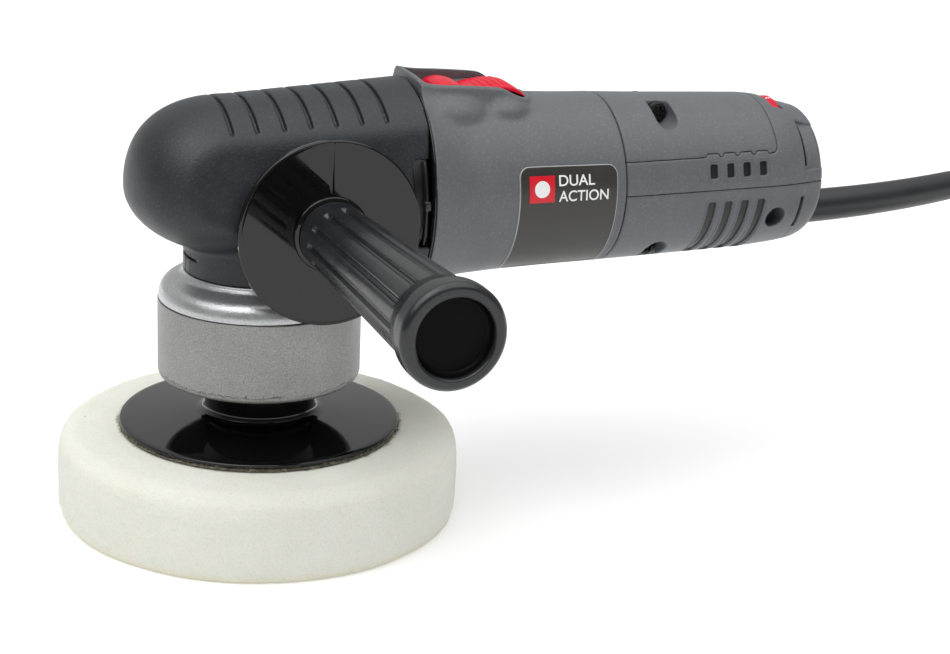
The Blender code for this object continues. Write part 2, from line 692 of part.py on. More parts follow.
def build_rear():
    panel = rear_shell("rear_top_panel")
    combine(panel, box("panel_region", (130.0, -60.0, PANEL_BOTTOM + GAP / 2),
                       (PANEL_REAR - GAP / 2, 60.0, 190.0), group=CUTTERS), "INTERSECT")
    add_screw_posts(panel, 166.2, 161.8, 9.0)
    combine(panel, box("panel_channel", (140.0, -3.6, 155.0), (148.8, 3.6, LINK_TOP + GAP), group=CUTTERS))

    upper = rear_shell("rear_shell_upper")
    combine(upper, box("upper_region", (130.0, -60.0, PARTING_HEIGHT + GAP / 2), (260.0, 60.0, 190.0),
                       group=CUTTERS), "INTERSECT")
    combine(upper, box("upper_opening", (130.0, -61.0, PANEL_BOTTOM - GAP / 2),
                       (PANEL_REAR + GAP / 2, 61.0, 191.0), group=CUTTERS))
    half = VENT_WIDTH / 2
    combine(upper, cutter_boxes("vent_windows", [
        ((x - half, -50.0, 137.9), (x + half, 50.0, 143.6)) for x in VENT_X]))
    combine(upper, box("dial_window", (DIAL_X - DIAL_WIDTH / 2 - 0.8, -11.4, 150.0),
                       (DIAL_X + DIAL_WIDTH / 2 + 0.8, 11.4, 175.0), group=CUTTERS))

    lower = rear_shell("rear_shell_lower")
    combine(lower, box("lower_region", (130.0, -60.0, 80.0), (260.0, 60.0, PARTING_HEIGHT - GAP / 2),
                       group=CUTTERS), "INTERSECT")
    add_screw_posts(lower, 164.8, 104.4, 11.5)
    slots = []
    for side in SIDES:
        near, far = sorted((side * 13.0, side * 50.0))
        slots += [((x - half, near, 90.0), (x + half, far, 127.0)) for x in VENT_X]
    combine(lower, cutter_boxes("vent_slots", slots))
    combine(lower, cutter_rods("side_holes", 4.6, 20.0, 50.0, 217.0, 117.8))
    combine(lower, turned("cord_hole", plug_profile(SLEEVE_RADIUS + 0.5, -10.0, 30.0), None, axis="X",
                          at=CORD_EXIT, steps=MIDDLE, group=CUTTERS))
    for shell in (panel, upper, lower):
        close_slivers(shell)


def build_rear_screws():
    """Four cross screws: head out, shank in towards the middle of the post."""
    for level, x, height, start in (("top", 166.2, 161.8, 9.3), ("bottom", 164.8, 104.4, 11.8)):
        for axis, side in (("-Y", "near"), ("Y", "far")):
            turned(f"rear_screw_{level}_{side}", (
                (0.0, start + 2.4), (3.2, start + 2.4), (3.7, start + 1.8), (3.7, start), (1.9, start),
                (1.9, start - 5.6), (0.0, start - 5.6),
            ), steel(), axis=axis, at=(x, 0.0, height), steps=SMALL)


def build_motor():
    axis = (0.0, 0.0, MOTOR_HEIGHT)
    turned("armature_shaft", (
        (0.0, 182.0), (3.6, 182.0), (3.9, 181.6), (3.9, 172.0), (4.7, 171.6), (4.7, 57.0), (5.7, 56.6),
        (5.7, 43.0), (4.4, 42.6), (4.4, 30.0), (2.0, 29.6), (2.0, 17.0), (1.7, 16.6), (0.0, 16.6),
    ), steel(), axis="X", at=axis, steps=MIDDLE)
    build_bevel_gear("bevel_pinion", PINION_TEETH, False)
    turned("motor_bearing_front", ring_profile(6.0, 14.0, 43.8, 53.6), steel(), axis="X", at=axis)
    turned("motor_bearing_rear", ring_profile(4.2, 11.0, 174.2, 181.0), steel(), axis="X", at=axis)
    build_armature()
    turned("commutator", ring_profile(5.0, 12.0, 140.4, 158.0), copper(), axis="X", at=axis, steps=MIDDLE)
    turned("stator_core", ring_profile(STATOR_BORE, STATOR_RADIUS, STATOR_FRONT, STATOR_REAR), steel(),
           axis="X", at=axis, steps=LARGE)
    for name, low, high in (("field_coil_front", STATOR_FRONT - 8.3, STATOR_FRONT - GAP),
                            ("field_coil_rear", STATOR_REAR + GAP, STATOR_REAR + 6.3)):
        turned(name, (
            (22.6, high), (29.0, high), (30.6, high - 1.6), (30.6, low + 1.6), (29.0, low), (22.6, low),
            (21.6, low + 1.6), (21.6, high - 1.6),
        ), copper(), axis="X", at=axis, steps=MIDDLE)
    turned("motor_end_bracket", (
        (11.3, 181.4), (14.4, 181.4), (14.4, 174.4), (29.2, 174.4), (29.2, 172.6), (6.0, 172.6),
        (6.0, 173.9), (11.3, 173.9),
    ), black_plastic(), axis="X", at=axis, steps=MIDDLE)
    for side, name in zip(SIDES, ("near", "far")):
        low, high = sorted((side * 13.6, side * 29.0))
        holder = box(f"brush_holder_{name}", (144.2, low, 128.0), (153.8, high, 138.0),
                     paint("brass", (0.7, 0.5, 0.2), 0.35, 1.0))
        combine(holder, box(f"brush_way_{name}", (145.4, side * 21.0 - 12.0, 129.4),
                            (152.6, side * 21.0 + 12.0, 136.6), group=CUTTERS))
        low, high = sorted((side * 12.3, side * 27.0))
        box(f"carbon_brush_{name}", (145.8, low, 129.8), (152.2, high, 136.2), carbon())


def spoked(x, reaches, inner, outer, count):
    """A section across X of repeated spokes: each reach is (part of a pitch, 0 inner to 1 outer)."""
    ring = []
    for i in range(count):
        for part, reach in reaches:
            angle = 2 * math.pi * (i + part) / count
            radius = inner + (outer - inner) * reach
            ring.append((x, radius * math.cos(angle), MOTOR_HEIGHT + radius * math.sin(angle)))
    return ring


def build_armature():
    """Slotted laminations, the winding heads at both ends, and the fan."""
    slots = ((0.12, 1.0), (0.5, 1.0), (0.88, 1.0), (0.92, 0.0), (1.08, 0.0))
    bore = [(part, 0.0) for part, reach in slots]
    shaft_room = 5.0
    loft("armature_core", [
        spoked(STATOR_FRONT, bore, shaft_room, ROTOR_RADIUS, ROTOR_SLOTS),
        spoked(STATOR_FRONT, slots, 15.0, ROTOR_RADIUS, ROTOR_SLOTS),
        spoked(STATOR_REAR, slots, 15.0, ROTOR_RADIUS, ROTOR_SLOTS),
        spoked(STATOR_REAR, bore, shaft_room, ROTOR_RADIUS, ROTOR_SLOTS),
    ], steel(), around=True, sharp=20.0)
    for name, low, high in (("winding_head_front", STATOR_FRONT - 7.6, STATOR_FRONT - GAP),
                            ("winding_head_rear", STATOR_REAR + GAP, STATOR_REAR + 7.6)):
        turned(name, (
            (5.0, high), (15.6, high), (17.6, high - 1.8), (17.6, low + 1.8), (15.6, low), (5.0, low),
        ), copper(), axis="X", at=(0.0, 0.0, MOTOR_HEIGHT))
    blades = ((0.0, 0.0), (0.05, 1.0), (0.15, 1.0), (0.24, 0.0))
    disc = [(part, 1.0) for part, reach in blades]
    hub = [(part, 0.0) for part, reach in blades]
    hub_radius = 12.0
    blade_radius = FAN_RADIUS - 0.5
    loft("cooling_fan", [
        spoked(70.4, hub, shaft_room, FAN_RADIUS, FAN_BLADES),
        spoked(70.4, disc, hub_radius, FAN_RADIUS, FAN_BLADES),
        spoked(68.8, disc, hub_radius, FAN_RADIUS, FAN_BLADES),
        spoked(68.8, blades, hub_radius, blade_radius, FAN_BLADES),
        spoked(62.0, blades, hub_radius, blade_radius, FAN_BLADES),
        spoked(62.0, hub, shaft_room, FAN_RADIUS, FAN_BLADES),
    ], black_plastic(), around=True, sharp=20.0)


def build_switch():
    slider = prism("switch_slider", (
        (66.2, 173.0), (66.2, 175.6), (68.0, 177.8), (71.4, 178.9), (74.8, 178.2), (78.4, 175.6),
        (80.4, 175.2), (84.0, 176.0), (90.0, 176.9), (95.4, 176.6), (100.2, 175.2), (104.4, 172.9),
        (107.6, 170.4), (106.4, 170.1), (101.4, 172.9),
    ), SLIDER_HALF_WIDTH, red_plastic())
    stem = box("slider_stem", (87.2, -2.6, LINK_TOP + GAP), (92.6, 2.6, 174.0), group=CUTTERS)
    combine(slider, stem, "UNION")
    link_bottom = LINK_TOP - 1.4
    link = box("switch_link", (86.4, -2.9, link_bottom), (148.2, 2.9, LINK_TOP), steel())
    combine(link, box("link_tail", (146.8, -2.9, 161.9), (148.2, 2.9, LINK_TOP), group=CUTTERS), "UNION")
    box("switch_body", (146.6, -8.0, 150.6), (159.8, 8.0, 161.6), black_plastic(), bevel=0.8)


def build_dial():
    half = DIAL_WIDTH / 2
    turned("speed_dial", (
        (2.0, half), (DIAL_RADIUS - 0.4, half), (DIAL_RADIUS, half - 0.4), (DIAL_RADIUS, 0.4 - half),
        (DIAL_RADIUS - 0.4, -half), (2.0, -half),
    ), red_plastic(), axis="X", at=(DIAL_X, 0.0, DIAL_HEIGHT), steps=LARGE)
    module = box("speed_module", (204.0, -12.0, 139.6), (222.0, 12.0, 155.6), black_plastic(), bevel=1.0)
    combine(module, turned("dial_pin", plug_profile(1.7, -8.0, 3.0), None, axis="X",
                           at=(DIAL_X, 0.0, DIAL_HEIGHT), steps=SMALL, group=CUTTERS), "UNION")


def build_cord():
    start = Vector(CORD_EXIT)
    end = Vector(SLEEVE_END)
    middle = Vector((start.x + 45.0, 0.6, start.z))
    sleeve = []
    for i in range(13):
        t = i / 12
        sleeve.append(start * (1 - t)**2 + 2 * middle * t * (1 - t) + end * t * t)
    radii = [SLEEVE_RADIUS - 0.9 * i / 12 for i in range(13)]
    radii[-1] = 5.6
    tube("strain_relief", sleeve, SLEEVE_RADIUS, cord_rubber(), 4, radii)
    heading = (sleeve[-1] - sleeve[-2]).normalized()
    entry = Vector(SLEEVE_END) + heading * GAP
    top = COIL_HEIGHT + CORD_RADIUS + 0.6
    route = smooth_route((
        entry, entry + heading * 14.0, (364.0, 18.5, 108.0), (383.0, 10.0, 91.0), (396.5, -5.0, 67.0),
        (407.0, -24.0, 45.0), (413.6, -42.0, 33.0), (416.2, -56.0, top),
    ), 10.0)
    tube("cord_lead", route, CORD_RADIUS, cord_rubber())
    outer = COIL_MEAN_RADIUS + COIL_HALF_WIDTH
    inner = COIL_MEAN_RADIUS - COIL_HALF_WIDTH
    edge = 3.4
    turned("cord_coil", (
        (inner + edge, COIL_HEIGHT), (outer - edge, COIL_HEIGHT), (outer, COIL_HEIGHT - edge),
        (outer, edge), (outer - edge, 0.0), (inner + edge, 0.0), (inner, edge), (inner, COIL_HEIGHT - edge),
    ), cord_rubber(), at=(*COIL_CENTRE, 0.0), steps=LARGE)
    plug_start = Vector(PLUG_START)
    tail = smooth_route((
        (COIL_CENTRE[0] - 2.0, COIL_CENTRE[1] + outer + CORD_RADIUS + 0.6, CORD_RADIUS + 0.2),
        (382.0, -32.8, 6.0), (388.0, -32.9, 9.6), (393.0, -33.0, 11.3),
        plug_start - Vector((2 * GAP, 0.0, 0.0)),
    ), 8.0)
    tube("cord_tail", tail, CORD_RADIUS, cord_rubber())
    turned("plug_body", (
        (0.0, 40.0), (9.0, 40.0), (11.0, 38.0), (11.2, 24.0), (9.0, 16.0), (6.4, 12.0), (5.2, 0.0),
        (0.0, 0.0),
    ), cord_rubber(), axis="X", at=PLUG_START, steps=MIDDLE)
    for side, name in zip(SIDES, ("left", "right")):
        low = Vector((PLUG_START[0] + 40.0 + GAP, PLUG_START[1] + side * 6.35 - 0.75, PLUG_START[2] - 3.2))
        box(f"plug_blade_{name}", low, low + Vector((17.0, 1.5, 6.4)),
            paint("brass", (0.7, 0.5, 0.2), 0.35, 1.0))
    box("cord_clamp", (212.0, -9.0, 106.4), (222.0, 9.0, 110.0), black_plastic(), bevel=0.6)


def build():
    clear_scene()
    build_pad()
    build_drive()
    build_shroud()
    build_head()
    build_handle()
    build_housing()
    build_rear()
    build_rear_screws()
    build_motor()
    build_switch()
    build_dial()
    build_cord()


build()
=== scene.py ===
import json
import math
from functools import reduce

import bpy
import numpy as np
from mathutils import Matrix, Vector, noise


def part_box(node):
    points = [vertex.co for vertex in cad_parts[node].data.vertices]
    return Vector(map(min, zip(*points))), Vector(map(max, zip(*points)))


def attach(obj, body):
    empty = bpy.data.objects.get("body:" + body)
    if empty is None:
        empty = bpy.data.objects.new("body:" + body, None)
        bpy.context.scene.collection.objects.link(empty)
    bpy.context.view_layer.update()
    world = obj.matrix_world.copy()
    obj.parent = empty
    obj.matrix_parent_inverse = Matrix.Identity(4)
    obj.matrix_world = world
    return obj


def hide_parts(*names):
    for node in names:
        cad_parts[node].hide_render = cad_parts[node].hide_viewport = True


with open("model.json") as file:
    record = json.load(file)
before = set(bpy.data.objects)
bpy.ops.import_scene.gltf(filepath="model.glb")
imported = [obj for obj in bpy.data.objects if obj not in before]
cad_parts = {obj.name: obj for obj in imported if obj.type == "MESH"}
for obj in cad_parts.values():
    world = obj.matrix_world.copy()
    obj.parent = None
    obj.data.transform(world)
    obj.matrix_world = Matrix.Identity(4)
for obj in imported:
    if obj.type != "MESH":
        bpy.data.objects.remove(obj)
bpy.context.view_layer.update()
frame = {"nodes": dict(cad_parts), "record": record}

# Looks of the dual action polisher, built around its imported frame. Lengths are in millimetres
# and MM turns them into metres. +Z is up, +X runs back along the motor, the handle is at -Y.
MM = 0.001

# Driving sizes, as in the CAD model
ORBIT = (4.0 * math.cos(math.radians(67.0)), 4.0 * math.sin(math.radians(67.0)))
AXIS_HEIGHT = 133.0
DOME_START, DOME_LENGTH, DOME_RISE = -12.5, 41.0, 4.0
BOOT_FRONT_RADIUS, BOOT_REAR_RADIUS, BOOT_REAR = 39.6, 43.8, 56.1
UNDER_DEPTH = 20.8
NECK_RADIUS, NECK_BOTTOM = 30.5, 103.4
FLAT_SIDE, FLAT_SIDE_REAR = 40.7, 50.6
HANDLE_X, HANDLE_Z = 14.5, 127.6
BOSS_RADIUS = 12.0
GUARD_RADIUS, GUARD_FRONT, GUARD_THICKNESS = 36.3, 44.3, 2.4
HOUSING_STATIONS = (
    (57.5, 133.2, 43.6), (66.0, 133.0, 40.6), (75.0, 132.9, 38.0), (90.0, 133.1, 36.9),
    (110.0, 133.0, 36.2), (130.0, 132.7, 35.6), (143.1, 132.6, 35.4),
)
BARREL_RADIUS = 35.9
REAR_STATIONS = (
    (143.5, 132.6, 35.3), (160.0, 132.3, 34.8), (180.0, 132.1, 34.2), (205.0, 131.9, 33.4),
    (215.0, 131.8, 33.0), (222.0, 131.5, 32.2), (230.0, 130.7, 30.7), (236.0, 130.3, 29.2),
    (238.8, 130.5, 28.0), (240.8, 130.6, 26.0),
)
PARTING_HEIGHT, PANEL_BOTTOM, PANEL_REAR = 132.15, 145.7, 215.7
VENT_X = (184.1, 192.0, 199.9, 207.8)
DIAL_X, DIAL_HEIGHT, DIAL_RADIUS, DIAL_WIDTH = 224.7, 148.3, 15.0, 4.2
SCREWS = (("top", 166.9, 161.2, 9.3), ("bottom", 165.2, 104.6, 11.8))

# Cord
CORD_RADIUS = 4.0
CORD_EXIT = (238.8, 0.0, 112.8)
SLEEVE_END = (331.0, 16.0, 112.8)
SLEEVE_RADIUS = 7.4
COIL_CENTRE = (378.0, -95.0)
PLUG_START = (399.0, -33.0, 11.5)


# ---------------------------------------------------------------- materials

class Nodes:
    """A short way to build one node tree: each method adds a node and returns its output."""

    def __init__(self, owner, shader="Principled BSDF"):
        owner.use_nodes = True
        self.owner = owner
        self.tree = owner.node_tree
        self.shader = self.tree.nodes[shader]
        self.places = self.tree.nodes.new("ShaderNodeTexCoord").outputs
        self.where = self.places["Object"]

    def put(self, socket, value):
        """Sets the socket to a number or colour, or links it to another node's output."""
        if isinstance(value, tuple):
            socket.default_value = (*value, 1.0)
        elif isinstance(value, (int, float)):
            socket.default_value = value
        else:
            self.tree.links.new(value, socket)

    def add(self, kind, output, inputs, **settings):
        node = self.tree.nodes.new("ShaderNode" + kind)
        for setting, value in settings.items():
            setattr(node, setting, value)
        for name, value in inputs.items():
            self.put(node.inputs[name], value)
        return node.outputs[output]

    def noise(self, size, detail=3.0, roughness=0.6):
        """Noise whose features are about size millimetres across."""
        return self.add("TexNoise", "Fac", {"Scale": 1.0 / (size * MM), "Detail": detail,
                                            "Roughness": roughness, "Vector": self.where})

    def cells(self, size):
        return self.add("TexVoronoi", "Distance", {"Scale": 1.0 / (size * MM), "Vector": self.where})

    def height(self):
        """Millimetres above the floor."""
        return self.math("MULTIPLY", self.part_of("Z", self.where), 1.0 / MM)

    def part_of(self, axis, vector):
        return self.add("SeparateXYZ", axis, {"Vector": vector})

    def spread(self, value, low, high, to_low, to_high):
        return self.add("MapRange", "Result", {"From Min": low, "From Max": high, "To Min": to_low,
                                               "To Max": to_high, "Value": value})

    def math(self, operation, a, b):
        return self.add("Math", "Value", {0: a, 1: b}, operation=operation)

    def mix(self, factor, first, second):
        return self.add("Mix", "Result", {"Factor": factor, "A": first, "B": second}, data_type="RGBA")

    def bump(self, height, depth, strength=1.0, before=None):
        inputs = {"Strength": strength, "Distance": depth * MM, "Height": height}
        if before:
            inputs["Normal"] = before
        return self.add("Bump", "Normal", inputs)

    def done(self, **inputs):
        """Sets the shader's own inputs, where an underscore stands for a space."""
        for name, value in inputs.items():
            self.put(self.shader.inputs[name.replace("_", " ")], value)
        return self.owner


def shade(colour, factor):
    return tuple(channel * factor for channel in colour)


def grained(name, colour, roughness, grain, depth, mottle, speckle=0.0, **values):
    """Moulded or cast surface: fine grain in its bump, faint cloudy changes in colour and gloss, and where
    asked painted glints, bright dots that stand in for small highlights.
    """
    nodes = Nodes(bpy.data.materials.new(name))
    fine = nodes.noise(grain, 2.0)
    cloud = nodes.noise(14.0, 4.0)
    both = nodes.math("ADD", nodes.math("MULTIPLY", cloud, 0.6), nodes.math("MULTIPLY", fine, 0.4))
    tint = nodes.spread(both, 0.35, 0.65, 0.0, 1.0)
    paint = nodes.mix(tint, shade(colour, 1.0 - mottle), shade(colour, 1.0 + mottle))
    # Painted glints: scattered dots at three times the base colour, standing in for small highlights.
    if speckle:
        glint_dots = nodes.spread(nodes.noise(grain * 1.3, 1.0), 0.56, 0.68, 0.0, speckle)
        paint = nodes.mix(glint_dots, paint, shade(colour, 3.0))
    gloss = nodes.spread(cloud, 0.3, 0.7, roughness - 0.06, roughness + 0.06)
    return nodes.done(Base_Color=paint, Roughness=gloss, Normal=nodes.bump(fine, depth), **values)


# Plain looks: colour, roughness, size and depth of the grain, cloudiness, and what else they set
GRAINED = {
    # The boot and housing get painted glints: bright dots that stand in for small highlights.
    "boot_rubber": ((0.0185, 0.021, 0.025), 0.43, 0.75, 0.14, 0.16,
                    {"speckle": 0.3, "Specular_IOR_Level": 0.4}),
    "housing_plastic": ((0.116, 0.123, 0.131), 0.42, 0.8, 0.07, 0.07,
                        {"speckle": 0.1, "Specular_IOR_Level": 0.35}),
    "gloss_black": ((0.004, 0.004, 0.0045), 0.06, 2.5, 0.002, 0.2, {}),
    "grip_plastic": ((0.017, 0.018, 0.0195), 0.27, 0.9, 0.012, 0.12, {}),
    "dull_black": ((0.003, 0.003, 0.003), 0.4, 0.8, 0.02, 0.3, {"Specular_IOR_Level": 0.06}),
    "red_plastic": ((0.66, 0.002, 0.024), 0.34, 0.8, 0.02, 0.06, {"Specular_IOR_Level": 0.22}),
    "label_film": ((0.031, 0.030, 0.026), 0.34, 0.35, 0.02, 0.1, {}),
    "label_edge": ((0.33, 0.34, 0.35), 0.3, 0.5, 0.01, 0.05, {}),
    "black_plastic": ((0.006, 0.006, 0.0065), 0.38, 0.6, 0.02, 0.2, {}),
    "cord_rubber": ((0.018, 0.019, 0.021), 0.42, 1.1, 0.03, 0.12, {}),
    "steel": ((0.52, 0.52, 0.53), 0.3, 0.5, 0.01, 0.06, {"Metallic": 1.0}),
    "screw_steel": ((0.016, 0.016, 0.017), 0.32, 0.5, 0.02, 0.2, {"Metallic": 0.6}),
    "copper": ((0.62, 0.24, 0.09), 0.4, 0.8, 0.05, 0.15, {"Metallic": 1.0}),
    "brass": ((0.72, 0.52, 0.22), 0.28, 0.6, 0.01, 0.06, {"Metallic": 1.0}),
    "carbon": ((0.03, 0.03, 0.03), 0.7, 0.5, 0.03, 0.2, {}),
    "hook_fabric": ((0.10, 0.095, 0.07), 0.9, 0.5, 0.3, 0.4, {}),
    "emblem_red": ((0.66, 0.006, 0.02), 0.36, 0.5, 0.01, 0.05, {}),
    "digit": ((0.85, 0.85, 0.85), 0.5, 0.6, 0.01, 0.03, {}),
}


def make_materials():
    made = {name: grained(name, *look[:5], **look[5]) for name, look in GRAINED.items()}
    made["fibre"] = fibre_material()
    made["foam"] = foam_material()
    made["cast_metal"] = cast_material("cast_metal", (0.205, 0.205, 0.202), (0.365, 0.365, 0.36), 0.46)
    # A lighter, glossier copy of the cast metal: painted light for the bearing cap, whose ledge the boot
    # shades.
    made["cast_metal_lit"] = cast_material("cast_metal_lit", (0.40, 0.405, 0.41), (0.6, 0.605, 0.61), 0.3)
    return made


def cast_material(name, dark, light, roughness):
    """Silver-painted die casting: coarse sparkle, and an uneven dark flash line round its lower edge."""
    nodes = Nodes(bpy.data.materials.new(name))
    fine = nodes.noise(0.42, 2.0)
    coarse = nodes.noise(1.4, 3.0)
    cloud = nodes.noise(16.0, 3.0)
    paint = nodes.mix(nodes.spread(fine, 0.32, 0.68, 0.0, 1.0), dark, light)
    wander = nodes.spread(nodes.noise(2.6, 4.0, 0.75), 0.3, 0.7, -0.9, 0.9)
    flash_height = nodes.math("ADD", wander, 61.9)
    off = nodes.math("ABSOLUTE", nodes.math("SUBTRACT", nodes.height(), flash_height), 0.0)
    line = nodes.spread(off, 0.08, 0.3, 1.0, 0.0)
    gate = nodes.spread(nodes.noise(9.0, 1.0), 0.4, 0.5, 0.25, 0.85)
    paint = nodes.mix(nodes.math("MULTIPLY", line, gate), paint, (0.05, 0.05, 0.05))
    gloss = nodes.spread(cloud, 0.3, 0.7, roughness - 0.06, roughness + 0.06)
    normal = nodes.bump(coarse, 0.09, 1.0, nodes.bump(fine, 0.06))
    return nodes.done(Base_Color=paint, Roughness=gloss, Normal=normal, Metallic=0.72)


def foam_material():
    """Open-cell foam: fine pores, a few dark specks, yellowed where the cut lower edge is."""
    nodes = Nodes(bpy.data.materials.new("foam"))
    pores = nodes.noise(0.8, 2.0, 0.7)
    lumps = nodes.noise(2.6, 3.0)
    cloud = nodes.noise(26.0, 3.0)
    edge_height = nodes.math("ADD", nodes.height(), nodes.math("MULTIPLY", lumps, 3.0))
    edge = nodes.spread(edge_height, 1.5, 5.0, 1.0, 0.0)
    base = nodes.mix(nodes.spread(cloud, 0.35, 0.65, 0.0, 1.0), (0.755, 0.76, 0.675), (0.785, 0.79, 0.715))
    base = nodes.mix(nodes.spread(pores, 0.32, 0.5, 0.3, 0.0), base, (0.55, 0.54, 0.45))
    base = nodes.mix(nodes.math("MULTIPLY", edge, 0.6), base, (0.72, 0.67, 0.42))
    speck = nodes.spread(nodes.cells(13.0), 0.022, 0.034, 0.75, 0.0)
    base = nodes.mix(speck, base, (0.16, 0.13, 0.09))
    normal = nodes.bump(lumps, 0.35, 0.7, nodes.bump(pores, 0.3, 0.8))
    return nodes.done(Base_Color=base, Roughness=0.92, Normal=normal, Subsurface_Weight=0.12,
                      Subsurface_Scale=0.004)


def fibre_material():
    """Cut ends of the hook-and-loop cloth: dark, straw and off-white hairs."""
    nodes = Nodes(bpy.data.materials.new("fibre"))
    pick = nodes.spread(nodes.noise(1.1, 1.0), 0.44, 0.56, 0.0, 1.0)
    return nodes.done(Base_Color=nodes.mix(pick, (0.03, 0.028, 0.022), (0.62, 0.58, 0.42)), Roughness=0.7)


LOOKS = make_materials()


# ---------------------------------------------------------------- mesh helpers

def add_object(name, data):
    made = bpy.data.objects.new(name, data)
    bpy.context.scene.collection.objects.link(made)
    return made


def place(piece, look, node=None, body="root", slot=None):
    """Gives the piece its look and the body it rides, and hides the CAD node it stands for. The slot is not
    used.
    """
    piece.data.materials.append(LOOKS[look])
    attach(piece, body)
    if node:
        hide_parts(node)
    return piece


def mesh_piece(name, points, faces, look, node=None, body="root", slot=None):
    """A piece from points in millimetres and faces that all have the same number of corners."""
    points = np.asarray(points, np.float32).reshape(-1, 3) * MM
    faces = np.asarray(faces, np.int32)
    mesh = bpy.data.meshes.new(name)
    count, sides = faces.shape
    mesh.vertices.add(len(points))
    mesh.vertices.foreach_set("co", points.ravel())
    mesh.loops.add(count * sides)
    mesh.loops.foreach_set("vertex_index", faces.ravel())
    mesh.polygons.add(count)
    mesh.polygons.foreach_set("loop_start", np.arange(0, count * sides, sides, dtype=np.int32))
    mesh.shade_smooth()
    mesh.update()
    mesh.validate()
    return place(add_object(name, mesh), look, node, body, slot)


def rounded(corners, radius=1.0, steps=5):
    """The profile with each inner corner turned into a short arc."""
    corners = [np.array(c[:2], float) for c in corners]
    result = [corners[0]]
    for before, corner, after in zip(corners, corners[1:], corners[2:]):
        to_before, to_after = before - corner, after - corner
        lengths = np.linalg.norm(to_before), np.linalg.norm(to_after)
        reach = min(radius, lengths[0] * 0.45, lengths[1] * 0.45)
        start = corner + to_before / lengths[0] * reach
        end = corner + to_after / lengths[1] * reach
        for i in range(steps + 1):
            t = i / steps
            result.append((1 - t)**2 * start + 2 * t * (1 - t) * corner + t * t * end)
    return result + [corners[-1]]


def densified(profile, step):
    """More points along the profile, none further apart than step."""
    result = [np.array(profile[0], float)]
    for a, b in zip(profile, profile[1:]):
        a, b = np.array(a, float), np.array(b, float)
        count = max(int(math.ceil(np.linalg.norm(b - a) / step)), 1)
        result += [a + (b - a) * i / count for i in range(1, count + 1)]
    return result


def outline(corners, radius, spacing, steps=5):
    return densified(rounded(corners, radius, steps), spacing)


AXES = {
    "Z": lambda a, b, along: (a, b, along),
    "X": lambda a, b, along: (along, a, b),
    "-Y": lambda a, b, along: (a, -along, b),
    "Y": lambda a, b, along: (b, along, a),
}


def turned(name, profile, look, node=None, body="root", slot=None, axis="Z", at=(0, 0, 0), steps=128,
           shape=None):
    """A turned piece: (radius, height) points that run down its outer side, top to bottom.

    shape, where given, changes the radii and heights by angle, for flutes and unevenness.
    """
    profile = np.array(profile, float)
    angle = np.arange(steps)[None, :] * 2 * math.pi / steps
    radius = np.repeat(profile[:, :1], steps, 1)
    height = np.repeat(profile[:, 1:], steps, 1)
    if shape:
        radius, height = shape(radius, angle + 0 * radius, height)
    across = AXES[axis](radius * np.cos(angle), radius * np.sin(angle), height)
    points = (np.stack(across, -1) + np.array(at, float)).reshape(-1, 3)
    on_axis = profile[:, 0] < 1e-6
    index = np.arange(len(points)).reshape(len(profile), steps)
    index[on_axis] = index[on_axis, :1]
    if not on_axis[0]:
        index = np.concatenate([index, index[:1]])
    turn = np.roll(index, -1, 1)
    quads = np.stack([index[:-1], index[1:], turn[1:], turn[:-1]], -1).reshape(-1, 4)
    corners = [list(dict.fromkeys(quad)) for quad in quads.tolist()]
    faces = sorted((face for face in corners if len(face) > 2), key=len, reverse=True)
    used = sorted({i for face in faces for i in face})
    renumbered = {old: new for new, old in enumerate(used)}
    mesh = bpy.data.meshes.new(name)
    mesh.from_pydata((points[used] * MM).tolist(), [], [[renumbered[i] for i in face] for face in faces])
    mesh.shade_smooth()
    piece = add_object(name, mesh)
    even = piece.modifiers.new("Even", "WEIGHTED_NORMAL")
    even.weight = 80
    return place(piece, look, node, body, slot)


# ---------------------------------------------------------------- distance fields

def grid(low, high, step):
    """Coordinates of a box of samples, shaped so that they broadcast together."""
    axes = [np.arange(a, b + step, step, dtype=np.float32) for a, b in zip(low, high)]
    return np.meshgrid(*axes, indexing="ij", sparse=True)


def soft_min(a, b, k):
    share = np.clip(0.5 + 0.5 * (b - a) / k, 0.0, 1.0)
    return b + (a - b) * share - k * share * (1.0 - share)


def soft_max(a, b, k):
    return -soft_min(-a, -b, k)


def span(a, b):
    """Distance from the line on which both are zero."""
    return np.sqrt(a * a + b * b)


def slab(value, low, high):
    return np.abs(value - (low + high) / 2) - (high - low) / 2


def block(slabs, radius=0.0):
    """Distance to the box where all slabs meet, its corners rounded."""
    grown = [s + radius for s in slabs]
    outside = np.sqrt(sum(np.maximum(s, 0.0) ** 2 for s in grown))
    return outside + np.minimum(reduce(np.maximum, grown), 0.0) - radius


def every(*fields):
    return reduce(np.maximum, fields)


def any_of(*fields):
    return reduce(np.minimum, fields)


def smoothstep(value):
    value = np.clip(value, 0.0, 1.0)
    return value * value * (3.0 - 2.0 * value)


def true_distance(field, step):
    """The field divided by its own slope, so that its values are near distances."""
    slopes = np.gradient(field, step)
    return field / np.maximum(np.sqrt(sum(s * s for s in slopes)), 0.3)


